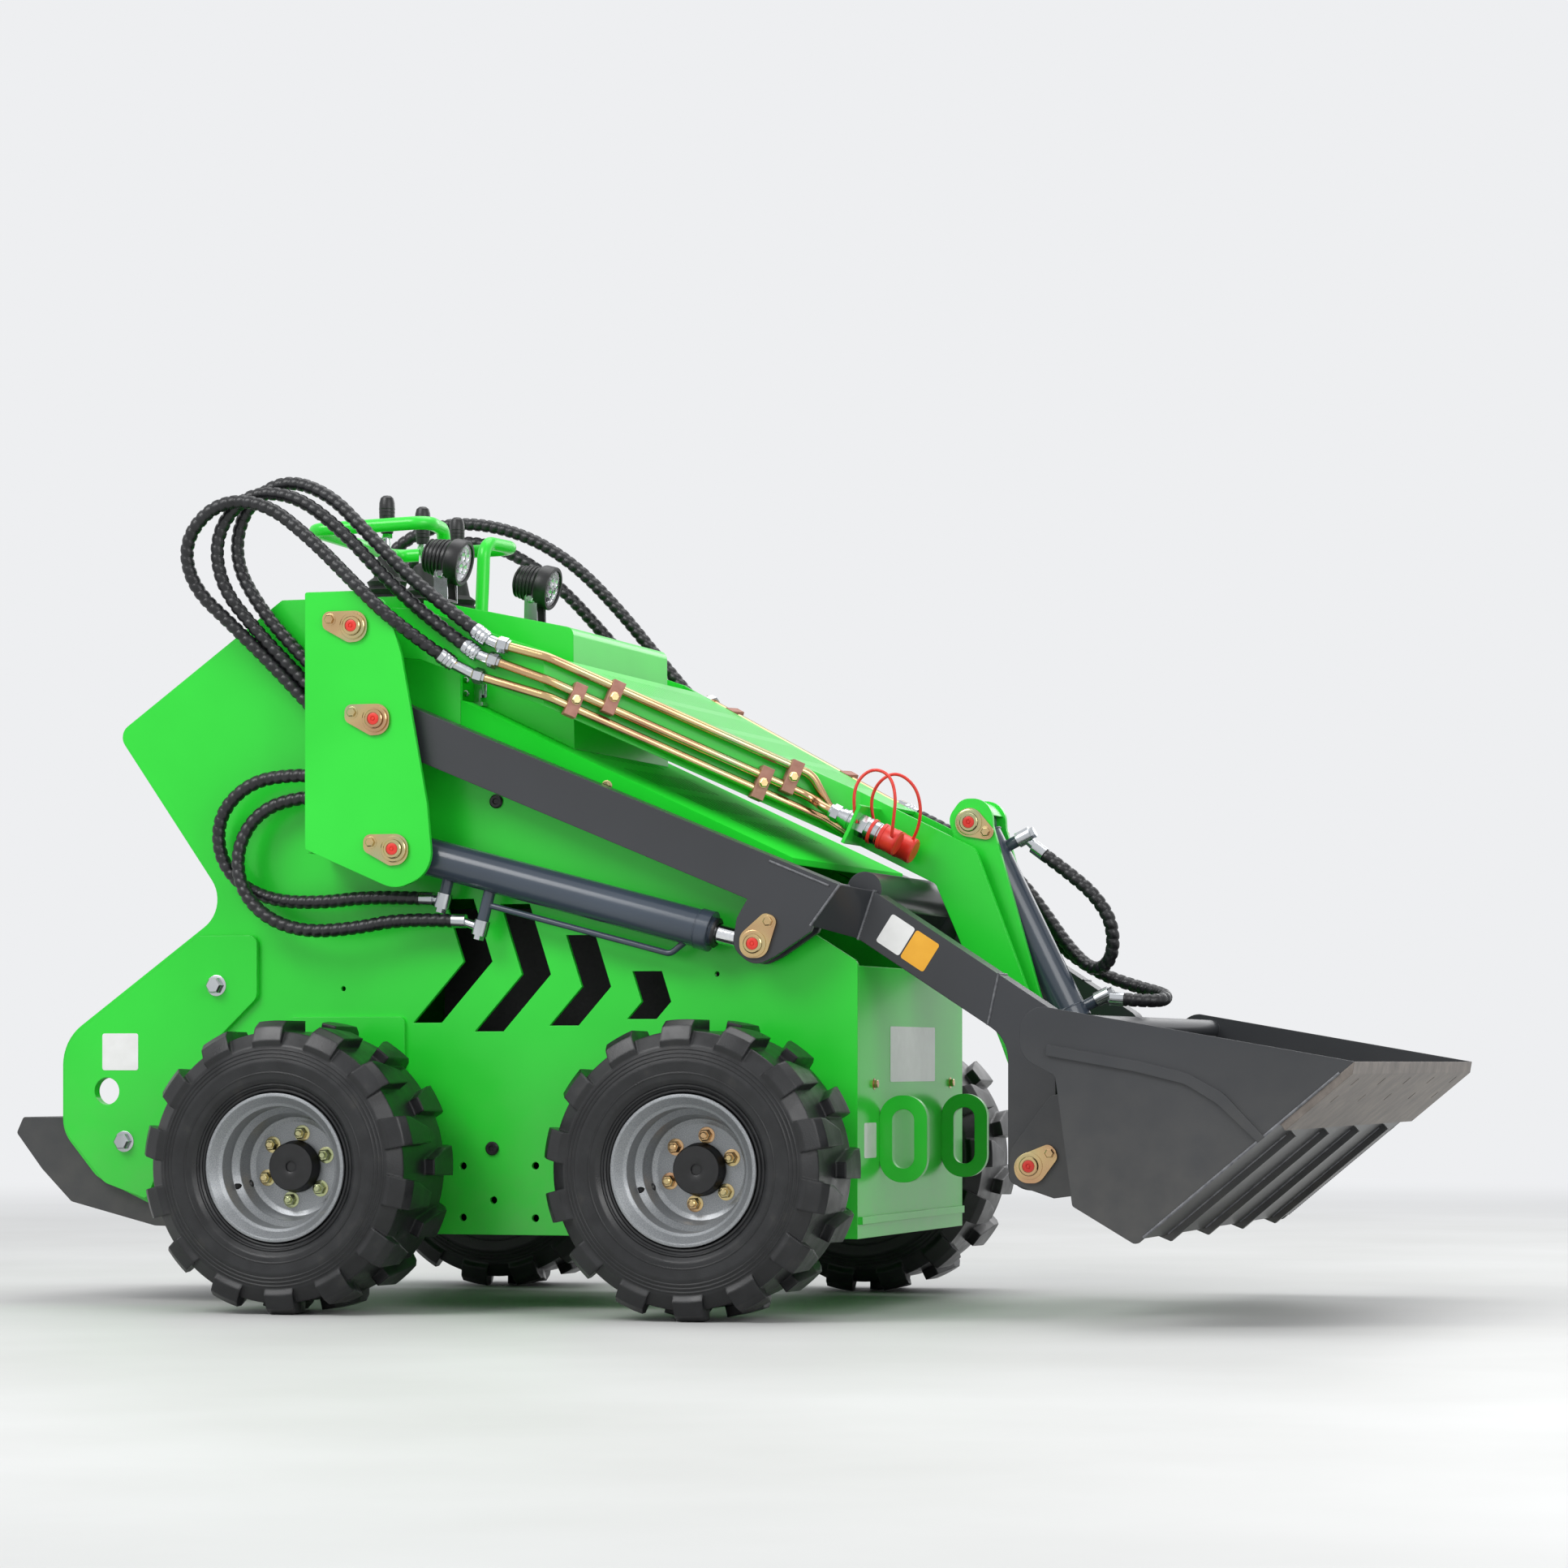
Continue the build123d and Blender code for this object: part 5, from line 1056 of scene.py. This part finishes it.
# name, x and z of the base eye and of the rod eye, y, length of the barrel, its body
CYLINDERS = [
    ("lift_right", (-420, 728), (167, 575), -350, 534, "lift_barrel_right"),
    ("lift_left", (-420, 728), (167, 575), 350, 534, "lift_barrel_left"),
    ("tilt", (423, 775), (609, 400), 0, 362, "tilt_barrel"),
]
for name, base, eye, y, reach, body in CYLINDERS:
    run = Vector((eye[0] - base[0], 0, eye[1] - base[1])).normalized()
    start = Vector((base[0], y, base[1]))
    wiper = bmesh.new()
    lathe(wiper, WIPER, start + run * (reach - 1), run, 40)
    piece("wiper_" + name, wiper, black_nylon, body)
    ends = bmesh.new()
    for distance in (22, reach - 27, reach - 8):
        lathe(ends, SEAM, start + run * distance, run, 48)
    piece("barrel_seams_" + name, ends, cylinder_gloss, body)

# ---------------------------------------------------------------- upper link and its pipes
# Cold-bent steel pipes in yellow zinc, clipped to the link in moulded blocks with one
# screw each; crimped bright sleeves and swivel nuts join the hoses to them.

# polypropylene: soft satin brown, slightly cloudy every 14 mm where it flowed in the mould
clamp_plastic = cloudy(
    "moulded_brown_polypropylene",
    "#A06A5A",
    "#B98574",
    clouds=70.0,
    detail=4.0,
    relief=0.2,
    depth=0.0004,
    Roughness=0.5,
)
NODES["pipe_clamps"].data.materials[0] = clamp_plastic
NODES["link_pipes"].data.materials[0] = yellow_zinc
NODES["quick_couplers"].data.materials[0] = bright_zinc
NODES["coupler_caps"].data.materials[0] = red_plastic


def ferrule(drawing, end, out, radius, length):
    """Crimped sleeve with three pressed rings."""
    profile = [(0, -1), (radius, -1)]
    proud = radius + 0.8
    for step in range(3):
        low = length * (0.16 + 0.27 * step)
        profile += [(proud, low), (proud, low + length * 0.13), (radius - 0.2, low + length * 0.17)]
    profile += [(radius, length), (radius - 3.5, length + 2), (0, length + 2)]
    lathe(drawing, profile, end, out, 24)


LINK_LANE = 345.0
NOSE_LANE = 76.0
BEND_REAR, BEND_FRONT = -190.0, 250.0
LINK_FALL, HEEL_FALL = 0.4889, 0.343
PIPE_OFF = 13.5
link_run = Vector((1, 0, -LINK_FALL)).normalized()
splay_reach, splay_in = BEND_FRONT - BEND_REAR, LINK_LANE - NOSE_LANE
splay_run = Vector((splay_reach, splay_in, -LINK_FALL * splay_reach)).normalized()
splay_out = Vector((splay_in, -splay_reach, 0)).normalized()


def link_top(x):
    """Height of the link's straight upper edge."""
    return 947 - LINK_FALL * x


def on_splay(x, drop, off):
    """Point beside the right-hand splayed plate: a drop below its top edge, off its outer face."""
    y = LINK_LANE + (NOSE_LANE - LINK_LANE) * (x - BEND_REAR) / splay_reach
    return Vector((x, -y, link_top(x) - drop)) + splay_out * off


def mirrored(point):
    """The same point on the left side."""
    return Vector((point.x, -point.y, point.z))


def join(drawing, route, start, away):
    """Nut on a pipe's end, and the crimped sleeve and stem that bring the hose to it."""
    hex_screw(drawing, start + away * 3.5, away, 22.6, 17)
    end, before = Vector(route[-1]), Vector(route[-2])
    leaving = (end - before).normalized()
    ferrule(drawing, end, leaving, 12.4, 26)
    heel = end + leaving * 24
    rings_along(drawing, [heel.lerp(start + away * 18, i / 6) for i in range(7)], 20, lambda s, angle: 9.0)


sleeves = bmesh.new()
# route of the hose, x of its pipe's end, drops below the edge there and on the splayed plate
for route, x, rear_drop, drop in (
    (UPPER_TOP, -243, 12, 10),
    (UPPER_MID, -259, 42, 46),
    (UPPER_LOW, -284, 74, 72),
):
    start = Vector((x, -LINK_LANE - PIPE_OFF, link_top(BEND_REAR) + HEEL_FALL * (BEND_REAR - x) - rear_drop))
    away = (start - on_splay(BEND_REAR + 0.28 * PIPE_OFF, drop, PIPE_OFF)).normalized()
    hex_screw(sleeves, start - away * 1, away, 18, 5)
    join(sleeves, route, start, away)
for route, x, drop in ((FAR_TOP, -135, 10), (FAR_MID, -155, 46)):
    start = mirrored(on_splay(x, drop, PIPE_OFF))
    away = (start - mirrored(on_splay(BEND_FRONT, drop, PIPE_OFF))).normalized()
    join(sleeves, route, start, away)
piece("pipe_end_nuts", sleeves, bright_zinc, "upper_link")
front_nuts = bmesh.new()
for route, drop in ((TILT_UPPER, 10), (TILT_LOWER, 46)):
    tip = mirrored(on_splay(BEND_FRONT - 0.24 * PIPE_OFF, drop, PIPE_OFF)) + link_run * 9
    hex_screw(front_nuts, tip + link_run * 3.5, link_run, 22.6, 17)
    first, second = Vector(route[0]), Vector(route[1])
    ferrule(front_nuts, first, (first - second).normalized(), 12.2, 22)
piece("tilt_pipe_nuts", front_nuts, bright_zinc, "upper_link")

clips = bmesh.new()
plates = bmesh.new()
# x of the clamp's middle, its height below the edge, whether the left link has one too
for x, middle, twin in ((-150, 59, False), (-98, 28, True), (108, 59, False), (150, 28, True)):
    for mirror in (False, True) if twin else (False,):
        top, out, along = on_splay(x, middle, 23), splay_out, splay_run
        if mirror:
            top, out, along = mirrored(top), mirrored(out), mirrored(along)
        up = out.cross(along).normalized()
        corners = []
        for lift in (0, 3):
            for a, b in ((-10, -27), (10, -27), (10, 27), (-10, 27)):
                corners.append(plates.verts.new(top + along * a + up * b + out * lift))
        box_faces(plates, corners)
        hex_screw(clips, top + out * 3, out, 13, 7, washer=8)
bmesh.ops.bevel(plates, geom=plates.edges[:], offset=0.6, segments=1, affect="EDGES")
piece("clamp_plates", plates, clamp_plastic, "upper_link")
piece("clamp_screws", clips, yellow_zinc, "upper_link")

# quick couplers: bright release sleeves, ribbed red caps and their moulded tethers
COUPLER_BODY = [(14, 30), (16.4, 31), (16.4, 35), (15, 36), (15, 39), (16.4, 40), (16.4, 48), (14, 49)]
RELEASE_SLEEVE = [(17.5, 68), (18.6, 69), (18.6, 88), (17.5, 89)]
CAP_SKIRT = [
    (20, 92.4),
    (21.2, 93),
    (21.2, 98),
    (20.2, 99),
    (20.2, 114),
    (21, 116),
    (20.6, 121.6),
    (18, 123.6),
    (0, 123.8),
]
CAP_COLLAR = [(17.6, 74), (20.6, 74.6), (20.6, 79.4), (17.6, 80)]
couplers = bmesh.new()
ribs = bmesh.new()
for start in ((224, -153.5, 791), (238, -110, 780)):
    lathe(couplers, COUPLER_BODY, start, link_run, 40)
    lathe(couplers, RELEASE_SLEEVE, start, link_run, 40)
    lathe(ribs, CAP_SKIRT, start, link_run, 40)
    lathe(ribs, CAP_COLLAR, start, link_run, 40)
piece("coupler_sleeves", couplers, bright_zinc, "upper_link")
piece("coupler_cap_ribs", ribs, red_plastic, "upper_link")

# each tether runs from the ring on the coupler, up in an open loop and down to its cap
TETHER_RADIUS = 2.6
FIRST_TETHER = [
    (272, -174, 770),
    (270, -186, 800),
    (275, -182, 836),
    (299, -176, 856),
    (328, -178, 846),
    (341, -186, 812),
    (336, -184, 772),
    (330, -174, 748),
]
SECOND_TETHER = [
    (290, -132, 770),
    (284, -142, 800),
    (300, -150, 836),
    (330, -148, 852),
    (360, -142, 830),
    (368, -134, 792),
    (358, -124, 756),
    (346, -116, 742),
]
for number, route in enumerate((FIRST_TETHER, SECOND_TETHER), 1):
    line = line_of(route)
    drawing = bmesh.new()
    rings_along(drawing, evenly([p * 1000 for p in line], 4), 12, lambda s, angle: TETHER_RADIUS)
    tether = piece(f"cap_tether_{number}", drawing, red_plastic, "upper_link", 60)
    length = sum((b - a).length for a, b in zip(line, line[1:]))

# ---------------------------------------------------------------- attachment and bucket
# Bucket folded and welded from wear plate, charcoal outside with pale bare beads along
# the inner seams, and a hard flame-cut blade left in its mill scale.

# mill scale: brown-grey and half metallic, in patches of some 45 mm with finer ones inside
mill_scale, tree, shader = finish_of("flame_cut_wear_steel", Metallic=0.55)
place = add(tree, "ShaderNodeTexCoord")
scale = add(
    tree,
    "ShaderNodeTexNoise",
    {"Scale": 22.0, "Detail": 8.0, "Roughness": 0.65},
    {"Vector": place.outputs["Object"]},
)
ramp = {"stops": [(0.3, linear("#5A544E")), (0.5, linear("#77706A")), (0.75, linear("#948C84"))]}
tint = add(tree, "ShaderNodeValToRGB", ramp, {"Fac": scale.outputs["Fac"]})
tree.links.new(tint.outputs["Color"], shader.inputs["Base Color"])
rough = add(tree, "ShaderNodeMapRange", {"To Min": 0.38, "To Max": 0.62}, {"Value": scale.outputs["Fac"]})
tree.links.new(rough.outputs[0], shader.inputs["Roughness"])
edge = add(tree, "ShaderNodeBevel", {"samples": 4, "Radius": 0.0015})
bump = add(
    tree,
    "ShaderNodeBump",
    {"Strength": 0.3, "Distance": 0.0005},
    {"Height": scale.outputs["Fac"], "Normal": edge.outputs["Normal"]},
)
tree.links.new(bump.outputs["Normal"], shader.inputs["Normal"])
NODES["cutting_edge"].data.materials[0] = mill_scale

FLOOR_FALL = 0.8338
PLATE_IN, PLATE_OUT = 537.5, 545.6  # y of the side plate's two seams
SEAM_END = 536
FLOOR_BARS = (-395, -130, 130, 395)
BAR_HALF = 7.4


def floor_z(x):
    """Height of the bucket floor's lower face."""
    return 393 - FLOOR_FALL * (1133 - x)


outer_seams = bmesh.new()
inner_seams = bmesh.new()
# 8 mm square to the floor, its thickness
lean = math.atan2(FLOOR_FALL, 1)
across, upward = -math.sin(lean) * 8, math.cos(lean) * 8
inside = [(x + across, floor_z(x) + upward) for x in (1108, 826)] + [(727, 196), (702, 366), (692, 436)]
outside = [(x + across * 0.2, floor_z(x) + upward * 0.2) for x in (1112, 1024, 822)]
for side in (-1, 1):
    bead(inner_seams, [(x, side * PLATE_IN, z) for x, z in inside], 2.6)
    bead(outer_seams, [(x, side * PLATE_OUT, z) for x, z in outside], 2.2)
    # both sides of the bars under the floor
    for y in FLOOR_BARS:
        bead(outer_seams, [(x, y + side * BAR_HALF, floor_z(x) - 0.8) for x in (1004, 826)], 1.8)
# the blade's edge on the floor, and the lip along the back
for x, z, radius in ((1112, floor_z(1112) + 6, 2.4), (697, 437, 2.6)):
    bead(inner_seams, [(x, -SEAM_END, z), (x, SEAM_END, z)], radius)
piece("bucket_outer_welds", outer_seams, weld_metal, "bucket", 60)

# weld metal brushed bright: pale, half shiny, with a coarse grain
bare_weld = cloudy(
    "wire_brushed_weld",
    "#8E8F90",
    "#B9BABB",
    clouds=140.0,
    detail=4.0,
    high=0.75,
    shine=(0.3, 0.5),
    Metallic=0.75,
)
piece("bucket_inner_welds", inner_seams, bare_weld, "bucket", 60)

# ---------------------------------------------------------------- engine bay
# Seen only through the side vents: the block and the wheel motors in matt black stoved
# paint over cast iron, in a sandy grain of 5 to 6 mm.
cast_iron = cloudy(
    "black_stoved_cast_iron",
    "#0E0E0F",
    "#1C1C1E",
    clouds=180.0,
    detail=5.0,
    relief=0.5,
    depth=0.001,
    Roughness=0.6,
)
NODES["engine_block"].data.materials[0] = cast_iron
NODES["wheel_motors"].data.materials[0] = cast_iron

# ---------------------------------------------------------------- floor and light
# Pale smooth concrete that fades into a plain backdrop, under a large soft key from the
# camera's left, a weaker fill from its right, a wide light above and a faint rim from behind.
BACKDROP = "#EEEFF1"
concrete, tree, shader = finish_of("trowelled_pale_concrete", Roughness=0.55)
place = add(tree, "ShaderNodeTexCoord")
cloud = add(tree, "ShaderNodeTexNoise", {"Scale": 1.3, "Detail": 8.0}, {"Vector": place.outputs["Object"]})
ramp = {"stops": [(0.3, linear("#C9C9C6")), (0.7, linear("#D6D6D4"))]}
tint = add(tree, "ShaderNodeValToRGB", ramp, {"Fac": cloud.outputs["Fac"]})
tree.links.new(tint.outputs["Color"], shader.inputs["Base Color"])
bump = add(tree, "ShaderNodeBump", {"Strength": 0.1, "Distance": 0.002}, {"Height": cloud.outputs["Fac"]})
tree.links.new(bump.outputs["Normal"], shader.inputs["Normal"])
# from 2.2 to 8 m out the floor fades into the plain backdrop's own colour
spread = add(tree, "ShaderNodeVectorMath", {"operation": "LENGTH"}, {0: place.outputs["Object"]})
fade = add(
    tree,
    "ShaderNodeMapRange",
    {"interpolation_type": "SMOOTHSTEP", "From Min": 2.2, "From Max": 8.0},
    {"Value": spread.outputs["Value"]},
)
haze = add(tree, "ShaderNodeEmission", {"Color": linear(BACKDROP), "Strength": 1.0})
seamless = add(
    tree,
    "ShaderNodeMixShader",
    links={0: fade.outputs[0], 1: shader.outputs[0], 2: haze.outputs[0]},
)
tree.links.new(seamless.outputs[0], tree.nodes["Material Output"].inputs["Surface"])
GROUND_HALF, GROUND_LEVEL = 14, -0.0005  # metres; just under the tyres
floor = bmesh.new()
quarters = ((-1, -1), (1, -1), (1, 1), (-1, 1))
floor.faces.new([floor.verts.new((x * GROUND_HALF, y * GROUND_HALF, GROUND_LEVEL)) for x, y in quarters])
floor_mesh = bpy.data.meshes.new("floor")
floor.to_mesh(floor_mesh)
floor.free()
floor_mesh.materials.append(concrete)
ground = bpy.data.objects.new("floor", floor_mesh)
scene.collection.objects.link(ground)

world = bpy.data.worlds.new("studio")
scene.world = world
world.use_nodes = True
tree = world.node_tree
tree.nodes.clear()
# the backdrop's colour where it is seen, reflected or seen through glass; softer as light
path = add(tree, "ShaderNodeLightPath")
mirrored_ray = add(
    tree,
    "ShaderNodeMath",
    {"operation": "MAXIMUM"},
    {0: path.outputs["Is Glossy Ray"], 1: path.outputs["Is Transmission Ray"]},
)
seen = add(
    tree,
    "ShaderNodeMath",
    {"operation": "MAXIMUM"},
    {0: path.outputs["Is Camera Ray"], 1: mirrored_ray.outputs[0]},
)
room = add(tree, "ShaderNodeBackground", {"Color": linear("#EEF1F6"), "Strength": 0.66})
wall = add(tree, "ShaderNodeBackground", {"Color": linear(BACKDROP), "Strength": 1.0})
both = add(tree, "ShaderNodeMixShader", links={0: seen.outputs[0], 1: room.outputs[0], 2: wall.outputs[0]})
add(tree, "ShaderNodeOutputWorld", links={"Surface": both.outputs[0]})

# lamp, place, aim, width, height, watts
for name, spot, target, width, height, watts in (
    ("key", (-2.6, -4.2, 4.6), (0, 0, 0.6), 3.4, 2.6, 190),
    ("fill", (4.2, -3.4, 2.6), (0.2, 0, 0.5), 3.0, 2.4, 85),
    ("top", (0.4, 1.0, 5.2), (0, 0, 0.6), 4.5, 3.2, 105),
    ("rim", (1.5, 4.6, 2.8), (0, 0, 0.7), 3.0, 2.0, 42),
):
    light = bpy.data.lights.new(name, "AREA")
    light.shape = "RECTANGLE"
    light.size = width
    light.size_y = height
    light.energy = watts
    lamp = bpy.data.objects.new(name, light)
    lamp.location = spot
    lamp.rotation_euler = (Vector(target) - Vector(spot)).to_track_quat("-Z", "Y").to_euler()
    scene.collection.objects.link(lamp)
